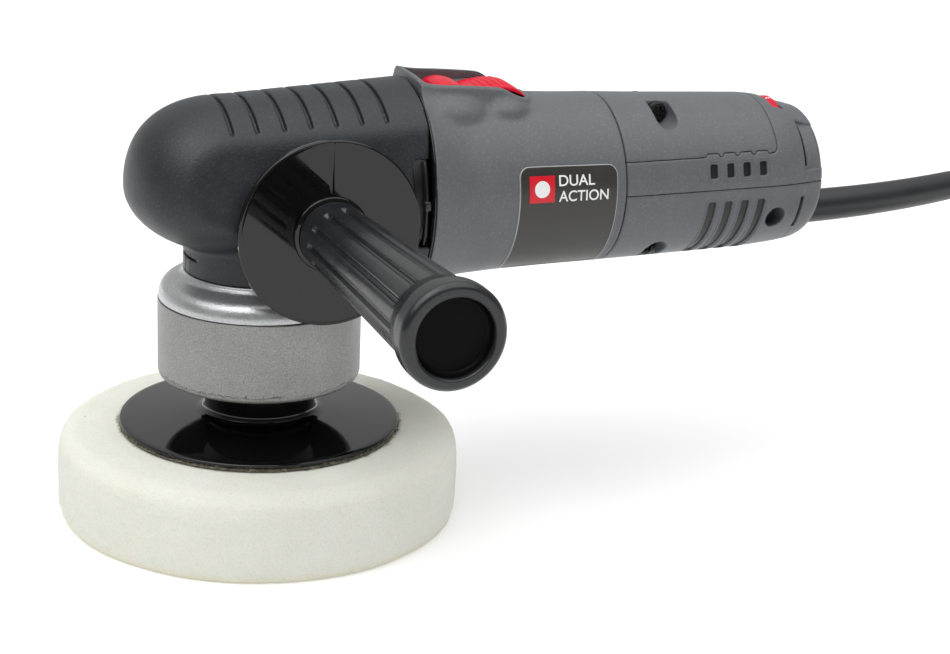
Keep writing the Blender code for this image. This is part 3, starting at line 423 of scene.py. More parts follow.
def skin(field, low, step):
    """Points and four-sided faces along the surface where the field changes sign."""
    field = field.astype(np.float32)
    inside = field < 0.0
    strides = np.array([field.shape[1] * field.shape[2], field.shape[2], 1])
    cells, places, quads = [], [], []
    for axis in range(3):
        first, second = [slice(None)] * 3, [slice(None)] * 3
        first[axis], second[axis] = slice(None, -1), slice(1, None)
        near, far = field[tuple(first)], field[tuple(second)]
        at = np.argwhere(inside[tuple(first)] != inside[tuple(second)])
        a, b = near[tuple(at.T)], far[tuple(at.T)]
        place = at.astype(float)
        place[:, axis] += a / (a - b)
        u, v = (axis + 1) % 3, (axis + 2) % 3
        around = []
        for du, dv in ((0, 0), (-1, 0), (-1, -1), (0, -1)):
            cell = at.copy()
            cell[:, u] += du
            cell[:, v] += dv
            around.append(cell @ strides)
            cells.append(around[-1])
            places.append(place)
        quad = np.stack(around, 1)
        quad[a > 0] = quad[a > 0, ::-1]
        quads.append(quad)
    keys, inverse = np.unique(np.concatenate(cells), return_inverse=True)
    share = np.bincount(inverse)
    places = np.concatenate(places)
    points = np.stack([np.bincount(inverse, weights=places[:, k]) for k in range(3)], 1) / share[:, None]
    return points * step + np.array(low), np.searchsorted(keys, np.concatenate(quads))


def field_piece(name, field, low, step, keep, look, node=None, body="root", slot=None):
    """A piece skinned from a distance field, thinned to the share keep of its faces."""
    piece = mesh_piece(name, *skin(field, low, step), look, node, body, slot)
    relax = piece.modifiers.new("Relax", "SMOOTH")
    relax.factor = 0.4
    relax.iterations = 2
    thin = piece.modifiers.new("Thin", "DECIMATE")
    thin.ratio = keep
    return piece


def between(stations, x):
    """Centre height and radius at each x, on a smooth curve through the stations."""
    table = np.array(stations)
    knots = table[:, 0]
    result = []
    for column in (1, 2):
        values = table[:, column]
        slopes = np.gradient(values, knots)
        i = np.clip(np.searchsorted(knots, x, side="right") - 1, 0, len(knots) - 2)
        span = knots[i + 1] - knots[i]
        t = np.clip((x - knots[i]) / span, 0.0, 1.0)
        result.append(
            (2 * t**3 - 3 * t**2 + 1) * values[i] + (t**3 - 2 * t**2 + t) * slopes[i] * span
            + (3 * t**2 - 2 * t**3) * values[i + 1] + (t**3 - t**2) * slopes[i + 1] * span
        )
    return [r.astype(np.float32) if isinstance(r, np.ndarray) else float(r) for r in result]


# ---------------------------------------------------------------- camera, light and floor

def make_camera():
    azimuth, elevation, roll = math.radians(-23.04), math.radians(18.19), math.radians(2.6)
    back = Vector((math.sin(azimuth) * math.cos(elevation), -math.cos(azimuth) * math.cos(elevation),
                   math.sin(elevation)))
    level = Vector((math.cos(azimuth), math.sin(azimuth), 0.0))
    upright = back.cross(level)
    right = level * math.cos(roll) + upright * math.sin(roll)
    up = back.cross(right)
    lens = bpy.data.cameras.new("camera")
    lens.sensor_width = 36.0
    lens.lens = 77.59
    lens.clip_start = 0.01
    lens.clip_end = 50.0
    camera = bpy.data.objects.new("camera", lens)
    camera.matrix_world = Matrix((
        (right.x, up.x, back.x, -0.22608),
        (right.y, up.y, back.y, -0.75272),
        (right.z, up.z, back.z, 0.33846),
        (0.0, 0.0, 0.0, 1.0),
    ))
    bpy.context.scene.collection.objects.link(camera)
    bpy.context.scene.camera = camera


def add_sun(name, azimuth, elevation, spread, power):
    """A broad even light from far away; azimuth 0 is +X and 90 is +Y."""
    lamp = bpy.data.lights.new(name, "SUN")
    lamp.energy = power
    lamp.angle = math.radians(spread)
    turn, rise = math.radians(azimuth), math.radians(elevation)
    towards = Vector((math.cos(turn) * math.cos(rise), math.sin(turn) * math.cos(rise), math.sin(rise)))
    add_object(name, lamp).rotation_euler = towards.to_track_quat("Z", "Y").to_euler()


def make_studio():
    """A room that is brighter overhead and behind the tool, two broad suns and a pale floor."""
    bpy.context.scene.view_settings.view_transform = "Standard"
    world = bpy.data.worlds.new("studio")
    bpy.context.scene.world = world
    sky = Nodes(world, "Background")
    towards = sky.places["Generated"]
    up = sky.math("MAXIMUM", sky.part_of("Z", towards), 0.0)
    overhead = sky.math("MULTIPLY", sky.math("POWER", up, 2.0), 0.55)
    behind = sky.math("MULTIPLY", sky.math("MAXIMUM", sky.part_of("Y", towards), 0.0), 0.5)
    glow = sky.math("ADD", sky.math("ADD", overhead, behind), 0.1)
    sky.done(Color=(1.0, 1.0, 1.0), Strength=glow)
    add_sun("key_light", 200.0, 56.0, 50.0, 1.15)
    add_sun("top_light", -60.0, 74.0, 80.0, 1.75)
    size = 4.0
    mesh = bpy.data.meshes.new("floor")
    corners = [(-size, -size, 0), (size, -size, 0), (size, size, 0), (-size, size, 0)]
    mesh.from_pydata(corners, [], [(0, 1, 2, 3)])
    nodes = Nodes(bpy.data.materials.new("floor"))
    pale = nodes.mix(nodes.noise(400.0, 2.0), (0.77, 0.77, 0.77), (0.79, 0.79, 0.79))
    paint = nodes.done(Base_Color=pale, Emission_Color=pale, Roughness=0.6, Emission_Strength=0.33)
    mesh.materials.append(paint)
    add_object("floor", mesh)


# ---------------------------------------------------------------- cord

def smooth_route(knots, spacing):
    """Evenly spaced points on a smooth curve through the knots."""
    knots = [Vector(k) for k in knots]
    ends = [2 * knots[0] - knots[1]] + knots + [2 * knots[-1] - knots[-2]]
    fine = []
    for i in range(1, len(ends) - 2):
        p0, p1, p2, p3 = ends[i - 1:i + 3]
        for step in range(24):
            t = step / 24
            fine.append(0.5 * (2 * p1 + (p2 - p0) * t + (2 * p0 - 5 * p1 + 4 * p2 - p3) * t * t
                               + (3 * p1 - p0 - 3 * p2 + p3) * t**3))
    fine.append(knots[-1])
    return resampled(fine, spacing)


def resampled(points, spacing):
    points = [Vector(p) for p in points]
    length = sum((b - a).length for a, b in zip(points, points[1:]))
    count = max(int(round(length / spacing)), 2)
    result, walked, target = [points[0]], 0.0, length / count
    for a, b in zip(points, points[1:]):
        step = (b - a).length
        while step > 0 and walked + step >= target - 1e-9 and len(result) < count:
            result.append(a.lerp(b, (target - walked) / step))
            target += length / count
        walked += step
    return result + [points[-1]]


def sleeve_points(count, reach=1.0):
    start, end = Vector(CORD_EXIT), Vector(SLEEVE_END)
    middle = Vector((start.x + 45.0, 0.6, start.z))
    return [start * (1 - t)**2 + 2 * middle * t * (1 - t) + end * t * t
            for t in (i * reach / (count - 1) for i in range(count))]


def coil_point(turned_by):
    """A point of the coil, by degrees wound from its tail end at the bottom.

    Each layer's turns keep one radius and step sideways or up over a short stretch, and each
    stretch comes a little before the last one, so that no two turns meet.
    """
    start_angle = 131.8
    inner, middle, outer = 37.5, 45.5, 53.5
    moves_in = ((300, outer, middle), (660, middle, inner), (1280, inner, middle), (1640, middle, outer),
                (2260, outer, middle))
    lifts = ((970, 4.1, 12.2), (1950, 12.2, 20.3))
    stretch = 50.0
    radius, height = outer, 4.1
    for at, low, high in moves_in:
        if turned_by > at:
            radius = low + (high - low) * smoothstep((turned_by - at) / stretch)
    for at, low, high in lifts:
        if turned_by > at:
            height = low + (high - low) * smoothstep((turned_by - at) / stretch)
    angle = math.radians(turned_by + start_angle)
    x, y = COIL_CENTRE
    return Vector((x + radius * math.cos(angle), y + radius * math.sin(angle), height))


def cord_route():
    sleeve = sleeve_points(24)
    heading = (sleeve[-1] - sleeve[-2]).normalized()
    entry = sleeve[-1]
    last_turn = 2348.2
    centre = Vector((*COIL_CENTRE, 0.0))

    def on_top(degrees, radius, height):
        angle = math.radians(degrees)
        return centre + Vector((radius * math.cos(angle), radius * math.sin(angle), height))

    lead = smooth_route(
        [sleeve[-3], entry, entry + heading * 14.0, (364.0, 18.5, 108.0), (383.0, 10.0, 91.0),
         (396.5, -5.0, 67.0), (407.0, -24.0, 45.0), (413.6, -42.0, 33.0), (416.2, -56.0, 29.2),
         on_top(29.0, 52.3, 28.8), on_top(12.0, 48.2, 28.0), on_top(-5.0, 45.9, 24.6),
         on_top(-22.0, 45.5, 21.2), coil_point(last_turn)], 5.0)
    first = next(i for i, p in enumerate(lead) if (p - entry).length < 3.0)
    coil = [coil_point(last_turn - a) for a in np.arange(4.0, last_turn, 4.0)]
    plug_start = Vector(PLUG_START)
    tail = smooth_route(
        [coil_point(4.0), coil_point(0.0), on_top(120.0, 54.6, 4.1), on_top(108.0, 57.6, 4.1),
         on_top(98.0, 60.9, 4.2), (377.0, -32.8, 4.8), (383.0, -32.8, 6.7), (388.5, -32.9, 9.4),
         (393.5, -33.0, 11.2), plug_start + Vector((1.0, 0.0, 0.0))], 5.0)
    return resampled([*sleeve, *lead[first + 1:], *coil, *tail[1:]], 5.0)


def new_curve(name, radius, resolution):
    """A curve of round section that has no lines yet."""
    curve = bpy.data.curves.new(name, "CURVE")
    curve.dimensions = "3D"
    curve.bevel_depth = radius * MM
    curve.bevel_resolution = resolution
    return curve


def add_line(curve, points, radii=None):
    """A smooth line through points in millimetres, its section scaled by radii."""
    spline = curve.splines.new("POLY")
    spline.points.add(len(points) - 1)
    for i, point in enumerate(points):
        spline.points[i].co = (*(Vector(point) * MM), 1.0)
        spline.points[i].radius = radii[i] if radii else 1.0
    spline.use_smooth = True


def tube(name, points, radius, resolution, node=None, radii=None):
    """A rubber tube with closed ends."""
    curve = new_curve(name, radius, resolution)
    curve.use_fill_caps = True
    add_line(curve, points, radii)
    return place(add_object(name, curve), "cord_rubber", node)


def make_cord():
    route = cord_route()
    cord = tube("mains_cord", route, CORD_RADIUS, 5)
    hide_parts("cord_lead", "cord_coil", "cord_tail")
    count = 40
    radii = []
    for t in (i / (count - 1) for i in range(count)):
        end = float(smoothstep((t - 0.97) / 0.03))
        radii.append(((SLEEVE_RADIUS - 0.9 * t) * (1 - end) + 5.2 * end) / SLEEVE_RADIUS)
    sleeve = tube("cord_sleeve", sleeve_points(count, 1.13), SLEEVE_RADIUS, 8, "strain_relief", radii)
    plug = make_plug()
    tie = make_tie()


def make_plug():
    """Moulded plug: ribbed neck, waisted grip and flat face with two blades."""
    profile = rounded([(0.0, 40.0), (9.6, 40.0), (11.2, 36.0), (11.2, 25.0), (8.8, 17.0), (6.6, 12.0),
                       (5.4, 0.4), (0.0, 0.0)], 1.6)

    def ribs(radius, angle, height):
        neck = smoothstep((height - 1.0) / 1.0) * smoothstep((13.0 - height) / 1.5)
        groove = 0.5 - 0.5 * np.cos(height * 2 * math.pi / 2.6)
        flat = 1.0 - 0.16 * np.cos(2 * angle) * smoothstep((height - 12.0) / 10.0)
        return (radius - 0.7 * neck * groove) * np.minimum(flat, 1.0), height

    body = turned("plug_grip", densified(profile, 0.7), "cord_rubber", "plug_body",
                  axis="X", at=PLUG_START, steps=64, shape=ribs)
    blades = []
    for name in ("plug_blade_left", "plug_blade_right"):
        low, high = (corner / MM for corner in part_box(name))
        step = 0.25
        start = [c - 1.0 for c in low]
        x, y, z = grid(start, [c + 1.0 for c in high], step)
        shape = block([slab(x, low.x, high.x), slab(y, low.y, high.y), slab(z, low.z, high.z)], 0.35)
        hole = np.sqrt((x - high.x + 3.4) ** 2 + (z - (low.z + high.z) / 2) ** 2) - 1.2
        shape = every(shape, -hole)
        blades.append(field_piece(name + "_pin", shape, start, step, 0.4, "brass", name))
    return [body, *blades]


def make_tie():
    """A strap round the coil's section."""
    angle = math.radians(200.0)
    out = Vector((math.cos(angle), math.sin(angle), 0.0))
    side = Vector((-out.y, out.x, 0.0))
    centre = Vector((*COIL_CENTRE, 12.3)) + out * 45.5
    half_width, half_height, thickness = 12.6, 12.2, 0.9
    points, faces = [], []
    count = 48
    for i in range(count):
        turn = 2 * math.pi * i / count
        power = 0.45
        c, s = math.cos(turn), math.sin(turn)
        a = math.copysign(abs(c) ** power, c) * half_width
        b = math.copysign(abs(s) ** power, s) * half_height
        for grow, along in ((0.0, -3.0), (thickness, -3.0), (thickness, 3.0), (0.0, 3.0)):
            scale_a, scale_b = 1 + grow / half_width, 1 + grow / half_height
            points.append(centre + out * a * scale_a + side * along + Vector((0, 0, max(b * scale_b, -11.9))))
        for k in range(4):
            j = (i + 1) % count
            faces.append((4 * i + k, 4 * i + (k + 1) % 4, 4 * j + (k + 1) % 4, 4 * j + k))
    piece = mesh_piece("cord_tie", [tuple(p) for p in points], faces, "black_plastic")
    edge = piece.modifiers.new("Edge", "BEVEL")
    edge.width = 0.2 * MM
    edge.segments = 2
    return piece


# ---------------------------------------------------------------- pad and shroud

def uneven(size, strength, seed):
    """A gentle change to radius and height by place, with features about size across."""
    def shape(radius, angle, height):
        flat = np.stack([radius * np.cos(angle), radius * np.sin(angle), height], -1).reshape(-1, 3) / size
        shift = np.array([noise.noise(Vector(p) + Vector((seed, 0, 0))) for p in flat]).reshape(radius.shape)
        return radius + strength * shift, height
    return shape


def make_pad():
    profile = outline([
        (0.0, 36.0), (64.0, 36.0), (75.0, 35.2), (80.4, 31.8), (81.5, 26.0), (81.6, 14.0), (81.2, 5.0),
        (80.2, 0.9), (78.4, 0.0), (0.0, 0.0)], 2.4, 2.0, 6)
    small, large = uneven(3.4, 0.34, 4.0), uneven(38.0, 0.6, 9.0)

    def foam_shape(radius, angle, height):
        flat_bottom = smoothstep(height / 2.0)
        lumpy = large(radius, angle, height)[0]
        lumpy = np.minimum(small(lumpy, angle, height)[0], 82.2)
        rise = np.array([noise.noise(Vector((a * 9.0, r / 4.0, 7.0))) for a, r in
                         zip(angle.ravel(), radius.ravel())]).reshape(radius.shape)
        inside = smoothstep((radius - 58.0) / 4.0)
        swell = 0.22 * rise * flat_bottom * inside * (height > 34)
        return np.where(radius > 1.0, lumpy, radius), height + swell

    ridden = {"body": "pad", "at": (*ORBIT, 0.0)}
    pad = turned("foam_body", profile, "foam", "foam_pad", steps=300, shape=foam_shape, **ridden)
    turned("hook_disc", outline([(0.0, 37.2), (56.6, 37.2), (57.0, 36.3), (0.0, 36.3)], 0.3, 3.0),
           "hook_fabric", "hook_loop_disc", steps=160, **ridden)
    make_fibres()
    turned("plate_body", outline([
        (0.0, 59.6), (8.6, 59.6), (8.8, 59.9), (22.4, 59.9), (22.4, 44.8), (23.2, 42.9), (25.6, 41.9),
        (54.9, 39.4), (56.7, 38.9), (56.7, 37.6), (0.0, 37.6)], 1.1, 3.0, 6),
        "gloss_black", "backing_plate", steps=200, **ridden)


def make_fibres():
    """Short hairs that stand out from the rim of the hook-and-loop disc."""
    rng = np.random.default_rng(7)
    count = 2600
    angle = rng.uniform(0.0, 2 * math.pi, count)
    clump = np.array([noise.noise(Vector((math.cos(a) * 9.0, math.sin(a) * 9.0, 2.0))) for a in angle])
    reach = np.clip(rng.normal(0.9, 0.45, count) + 0.9 * clump, 0.25, 2.2)
    start = np.stack([55.8 * np.cos(angle), 55.8 * np.sin(angle), rng.uniform(36.4, 37.5, count)], -1)
    lean = angle + rng.normal(0.0, 0.55, count)
    rise = rng.normal(0.05, 0.3, count)
    heading = np.stack([np.cos(lean), np.sin(lean), rise], -1)
    tip = start + heading * (reach + 1.1)[:, None]
    bent = (start + tip) / 2 + rng.normal(0.0, 0.16, (count, 3))
    tip[:, 2] = np.maximum(tip[:, 2], 36.25)
    bent[:, 2] = np.maximum(bent[:, 2], 36.35)
    thick = rng.uniform(0.05, 0.1, count)
    points, faces = [], []
    for centre, share in ((start, 1.0), (bent, 0.8), (tip, 0.25)):
        for k in range(3):
            turn = 2 * math.pi * k / 3
            side = np.stack([-np.sin(angle) * math.cos(turn), np.cos(angle) * math.cos(turn),
                             np.full(count, math.sin(turn))], -1)
            points.append(centre + side * (thick * share)[:, None])
    points = np.stack(points, 1).reshape(-1, 3) + np.array([*ORBIT, 0.0])
    base = np.arange(count)[:, None] * 9
    for level in (0, 3):
        for k in range(3):
            j = (k + 1) % 3
            faces.append(base + np.array([[level + k, level + j, level + 3 + j, level + 3 + k]]))
    mesh_piece("hook_fibres", points, np.concatenate(faces), "fibre", body="pad", slot="hook_fabric")


def make_shroud():
    def flash(radius, angle, height):
        wander = np.array([noise.noise(Vector((math.cos(a) * 14, math.sin(a) * 14, 3.0)))
                           for a in angle[0]])[None, :]
        below = smoothstep((61.6 + 1.1 * wander - height) / 0.4)
        return radius - 0.16 * below * (radius > 39.5), height

    wall = rounded([(37.8, 91.1), (40.4, 91.1), (40.6, 90.8), (40.6, 63.4)], 0.25)
    flash_band = densified([(40.6, 63.4), (40.6, 60.9)], 0.25)
    lower_edge = rounded([(40.6, 60.9), (40.3, 60.0), (39.3, 59.3), (38.2, 59.3), (37.8, 60.0)], 0.7)
    profile = [*wall[:-1], *flash_band, *lower_edge[1:]]
    turned("shroud_body", densified(profile, 4.0), "cast_metal", "shroud_skirt", steps=360, shape=flash)
    # The cap wears the lighter copy of the cast metal: painted light on its ledge, which the boot shades.
    turned("cap_body", outline([
        (17.8, 103.1), (30.6, 103.1), (31.0, 102.0), (32.2, 100.6), (34.6, 99.7), (37.2, 98.6), (39.2, 96.6),
        (40.2, 93.8), (40.3, 91.6), (40.0, 91.4), (17.8, 91.4)], 1.4, 2.0),
        "cast_metal_lit", "bearing_cap", slot="cast_metal", steps=200)


# ---------------------------------------------------------------- head

def head_field(x, y, z):
    """The head: round over a flatter underside, and closed by a dome at the front."""
    along = np.clip((x - DOME_START) / (BOOT_REAR - DOME_START), 0.0, None)
    radius = BOOT_FRONT_RADIUS + (BOOT_REAR_RADIUS - BOOT_FRONT_RADIUS) * along
    inward = np.clip((DOME_START - x) / DOME_LENGTH, 0.0, None)
    centre = AXIS_HEIGHT + 0.3 + DOME_RISE * inward ** 2
    depth = UNDER_DEPTH + (radius - UNDER_DEPTH) * smoothstep((x - 22.0) / (BOOT_REAR - 18.0))
    high = z - centre
    reach = np.sqrt((y / radius) ** 2 + (high / np.where(high > 0, radius, depth)) ** 2)
    power = 2.25
    return ((reach ** power + inward ** power) ** (1 / power) - 1.0) * radius


def seam_lean(z):
    """How far the joint between boot and motor housing leans back towards the top."""
    return 0.07 * np.maximum(z - 142.0, 0.0)


def make_boot():
    step = 0.5
    low, high = (-56.0, -45.0, 101.0), (60.5, 45.0, 179.0)
    x, y, z = grid(low, high, step)
    side = np.abs(y)
    outer = true_distance(head_field(x, y, z), step)
    facet = (side - 80.4 - 0.052 * x + 0.316 * z) / 1.05
    outer = soft_max(outer, facet, 1.6)
    flat = FLAT_SIDE + (BOOT_REAR_RADIUS - FLAT_SIDE) * smoothstep((x - FLAT_SIDE_REAR) / 4.0)
    outer = soft_max(outer, side - flat, 1.0)
    neck = every(span(x, y) - NECK_RADIUS, z - 128.0)
    outer = soft_min(outer, neck, 3.0)
    inner = outer + 2.6
    shell = every(outer, -inner, x - BOOT_REAR - seam_lean(z), NECK_BOTTOM - z)
    ends = (side - (z - AXIS_HEIGHT) / math.tan(math.radians(48.5))) * 0.75
    for groove in (-19.0, -9.2, 1.4, 11.8, 21.8, 32.0, 42.0):
        run_out = 1.5 * smoothstep(-ends / 3.0) + 0.2
        cut = every(np.abs(x - groove) - 0.75, -outer - run_out, ends)
        shell = soft_max(shell, -cut, 0.35)
    slit = every(slab(z, 109.7, 110.5), x + 28.4, -outer - 1.6)
    shell = every(shell, -slit)
    window = block([slab(x, 50.4, 70.0), slab(z, 118.5, 152.4)], 2.2)
    boss = span(x - HANDLE_X, z - HANDLE_Z) - BOSS_RADIUS - 0.3
    shell = every(shell, -window, -boss)
    field_piece("boot_skin", shell, low, step, 0.35, "boot_rubber", "head_boot")
    make_gear_case(outer, x, y, z, low, step)
    make_window_frames()

    def leaning(radius, angle, height):
        return radius, height + seam_lean(AXIS_HEIGHT + radius * np.sin(angle))

    turned("seam_ring_body", outline([
        (40.2, 57.3), (43.0, 57.3), (43.5, 57.1), (43.5, 56.6), (43.0, 56.4), (40.2, 56.4),
        (40.0, 56.9)], 0.2, 1.5), "gloss_black", "seam_ring", axis="X", at=(0, 0, AXIS_HEIGHT + 0.3),
        steps=200, shape=leaning)


def make_gear_case(outer, x, y, z, low, step):
    """The casting inside the boot: two handle bosses, and rooms for the gears and the motor's nose."""
    side = np.abs(y)
    upright, along = span(x, y), span(y, z - AXIS_HEIGHT)
    boss_reach = span(x - HANDLE_X, z - HANDLE_Z)
    case = every(outer + 3.4, x - BOOT_REAR, NECK_BOTTOM - z)
    case = any_of(case, soft_max(boss_reach - BOSS_RADIUS, side - 41.2, 0.4))
    gears = any_of(every(upright - 25.0, z - 146.6), every(upright - 11.3, z - 156.9))
    nose = any_of(every(along - 12.0, x - 43.4), every(along - 14.3, x - 54.0), every(along - 36.0, 54.0 - x))
    stud = every(boss_reach - 4.3, 27.5 + y)
    plug = every(np.abs(boss_reach - 6.4) - 0.35, 40.6 - y)
    slot = every(np.abs(z - HANDLE_Z) - 0.7, np.abs(x - HANDLE_X) - 4.6, 40.2 - y)
    case = every(case, -gears, -nose, -stud, -plug, -slot)
    field_piece("case_skin", case, low, step, 0.25, "black_plastic", "gear_case", slot="cast_metal")


def make_window_frames():
    """The black wall inside each side window, and before it an upright rib and a small stop. The rib and stop
    take the paler, glossier grip plastic look as a painted highlight, though they are black plastic like the
    wall.
    """
    step = 0.4
    low, high = (49.0, 30.0, 116.0), (57.5, 44.5, 155.0)
    x, y, z = grid(low, high, step)
    reach = span(y, z - AXIS_HEIGHT)
    wall = every(reach - 39.6, 38.2 - reach, slab(x, 49.8, 55.9), slab(z, 117.5, 153.6))
    rib = every(reach - 42.2, 39.4 - reach, slab(x, 53.5, 54.3), slab(z, 119.0, 151.9))
    stop = every(reach - 42.5, 39.4 - reach, slab(x, 53.1, 55.6), slab(z, 133.6, 137.2))
    # Painted highlight: the rib and stop use the paler grip plastic, though they are black plastic.
    for kind, field, look in (("wall", wall, "black_plastic"), ("rib", any_of(rib, stop), "grip_plastic")):
        points, faces = skin(field, low, step)
        mesh_piece(f"window_{kind}_far", points, faces, look, slot="black_plastic")
        mirrored = points * np.array([1.0, -1.0, 1.0])
        mesh_piece(f"window_{kind}_near", mirrored, faces[:, ::-1], look, slot="black_plastic")


# ---------------------------------------------------------------- side handle

def make_handle():
    held = {"body": "side_handle", "axis": "-Y", "at": (HANDLE_X, 0.0, HANDLE_Z)}
    back = GUARD_FRONT - GUARD_THICKNESS

    def mould_line(radius, angle, height):
        near_top = np.exp(-((angle - math.pi / 2) * radius / 0.35) ** 2)
        front = (height > GUARD_FRONT - 0.2) * smoothstep((radius - 16.0) / 2.0) * (radius < 35.4)
        return radius, height - 0.12 * near_top * front

    turned("guard_body", outline([
        (9.2, GUARD_FRONT), (34.8, GUARD_FRONT), (35.6, GUARD_FRONT + 0.15),
        (GUARD_RADIUS, GUARD_FRONT - 0.3), (GUARD_RADIUS, back + 0.2), (35.8, back),
        (9.2, back)], 0.35, 1.5), "gloss_black", "handle_guard", steps=320, shape=mould_line, **held)

    flutes = 12
    flute_start, flute_end = 57.0, 155.5

    def fluted(radius, angle, height):
        outside = (radius > 12.2) & (height > flute_start - 2) & (height < flute_end + 3)
        pitch = 2 * math.pi / flutes
        offset = np.abs((angle + pitch / 2) % pitch - pitch / 2) * radius
        groove = smoothstep((1.35 - offset) / 0.9)
        ends = smoothstep((height - flute_start) / 1.6) * smoothstep((flute_end - height) / 3.0)
        land = 0.25 * smoothstep((offset - 1.2) / 1.5)
        return radius - outside * (1.25 * groove - land + 0.25) * ends, height

    outer = rounded([
        (14.1, 172.0), (17.4, 172.0), (18.9, 170.2), (18.9, 164.0), (17.9, 160.0), (16.6, 155.0),
        (15.5, 122.0), (14.3, 80.0), (13.6, 58.0), (13.6, 48.6), (13.0, 45.6), (12.0, 44.9)], 1.6, 6)
    inner = [(8.7, 44.7), (8.7, 41.6), (4.3, 41.6), (4.3, 167.0), (14.1, 167.0)]
    turned("grip_body", densified(outer + inner, 1.3), "grip_plastic", "handle_grip", steps=288,
           shape=fluted, **held)
    turned("collar_ring", outline([
        (12.9, 46.2), (14.6, 45.6), (14.9, 44.9), (14.6, 44.45), (12.9, 44.45)], 0.4, 1.0),
        "gloss_black", **held)
    turned("grip_end", outline([
        (0.0, 167.9), (12.6, 168.2), (13.5, 169.4), (13.9, 170.8), (14.0, 167.2),
        (0.0, 167.1)], 0.7, 0.8, 6), "dull_black", "handle_end_cap", slot="gloss_black", **held)
    make_grip_slot()


def make_grip_slot():
    """A flat black strip on one land near the handle's end: painted shade that stands in for a short slot
    pressed into it.
    """
    angle, distance = math.radians(200.0), 146.0
    radius = 16.45
    points, faces = [], []
    for i, along in enumerate(np.linspace(-1.0, 1.0, 9)):
        for across in (-0.45, 0.45):
            width = 0.0 if abs(along) == 1 else across
            turn = angle + along * 1.9 / radius
            x, z = HANDLE_X + radius * math.cos(turn), HANDLE_Z + radius * math.sin(turn)
            points.append((x, -distance - width, z))
        if i:
            faces.append((2 * i - 2, 2 * i - 1, 2 * i + 1, 2 * i))
    mesh_piece("grip_slot_shade", points, faces, "black_plastic", body="side_handle")


# ---------------------------------------------------------------- housing

def make_housing():
    step = 0.5
    low, high = (56.0, -46.0, 87.0), (145.0, 46.0, 182.0)
    x, y, z = grid(low, high, step)
    side = np.abs(y)
    centre, radius = between(HOUSING_STATIONS, x)
    angle_y = span(y, z - centre)
    outer = angle_y - radius
    rim = np.interp(x.ravel(), (57, 60, 64, 68, 80, 92, 96.6, 99.4, 102.4, 106, 112),
                    (178.9, 178.8, 178.1, 177.6, 176.9, 175.9, 175.2, 173.2, 171.2, 170.0, 168.6))
    rim = np.convolve(np.pad(rim, 4, mode="edge"), np.ones(9) / 9, "valid").astype(np.float32)[:, None, None]
    width = 15.2 * np.sqrt(np.clip(1.0 - np.maximum((x - 98.0) / 13.5, 0.0) ** 2, 0.0, 1.0))
    platform = soft_max((z - rim + 0.3 - 0.06 * y) * 0.97, side - width, 1.5)
    platform = every(soft_max(platform, 60.0 - x, 1.0), x - 112.0, 150.0 - z)
    for where, size in (((70.0, 14.0, 163.2), (20.0, 10.0, 9.0)), ((97.0, 12.0, 164.0), (11.0, 9.2, 6.6))):
        bulge = np.sqrt(((x - where[0]) / size[0]) ** 2 + ((side - where[1]) / size[1]) ** 2
                        + ((z - where[2]) / size[2]) ** 2) - 1.0
        outer = soft_min(outer, bulge * min(size), 1.6)
    outer = soft_min(outer, platform, 3.4 + 4.6 * (1.0 - smoothstep((x - 60.0) / 12.0)))
    tray = block([slab(x, 62.9, 99.5), side - 12.0, 172.4 - z], 1.0)
    ramp = block([slab(x, 93.0, 109.6), side - 11.3, 169.7 - z], 1.0)
    room = span(y, z - AXIS_HEIGHT) - np.where(x > 76.0, 32.6, 32.6 + (76.0 - x) * 0.35)
    shell = every(outer, -tray, -ramp, -room, x - 143.1, 57.5 + seam_lean(z) - x)
    slot = block([slab(x, 80.6, 93.4), side - 3.2, 160.0 - z])
    channel = block([slab(x, 79.9, 146.0), side - 3.6, slab(z, 150.0, 166.1)])
    shell = every(shell, -slot, -channel)
    arc = np.arctan2(z - centre, side) * radius
    top_arc = math.radians(21.4) * BARREL_RADIUS
    line = every(np.abs(x - 140.9) - 0.28, arc - top_arc + 2.0, -arc - 52.0)
    shell = soft_max(shell, -every(line, -outer - 0.45), 0.2)
    rear_lip = every(143.1 - 0.55 - x, -outer - 0.3)
    shell = soft_max(shell, -rear_lip, 0.15)
    field_piece("housing_skin", shell, low, step, 0.35, "housing_plastic", "motor_housing")
    make_plate(-1, "near", "badge_plate")
    make_emblem()
    make_plate(1, "far", "rating_plate")


def quad_grid(columns, rows):
    """Faces over a grid of points that are listed column by column."""
    index = np.arange((columns + 1) * (rows + 1)).reshape(columns + 1, rows + 1)
    return np.stack([index[:-1, :-1], index[:-1, 1:], index[1:, 1:], index[1:, :-1]], -1).reshape(-1, 4)


def on_barrel(side, x, arc, lift):
    """A point at an arc length above the barrel's middle height, lifted off its surface."""
    centre, radius = between(HOUSING_STATIONS, np.array([x]))
    turn, reach = arc / BARREL_RADIUS, radius[0] + lift
    return x, side * reach * math.cos(turn), centre[0] + reach * math.sin(turn)


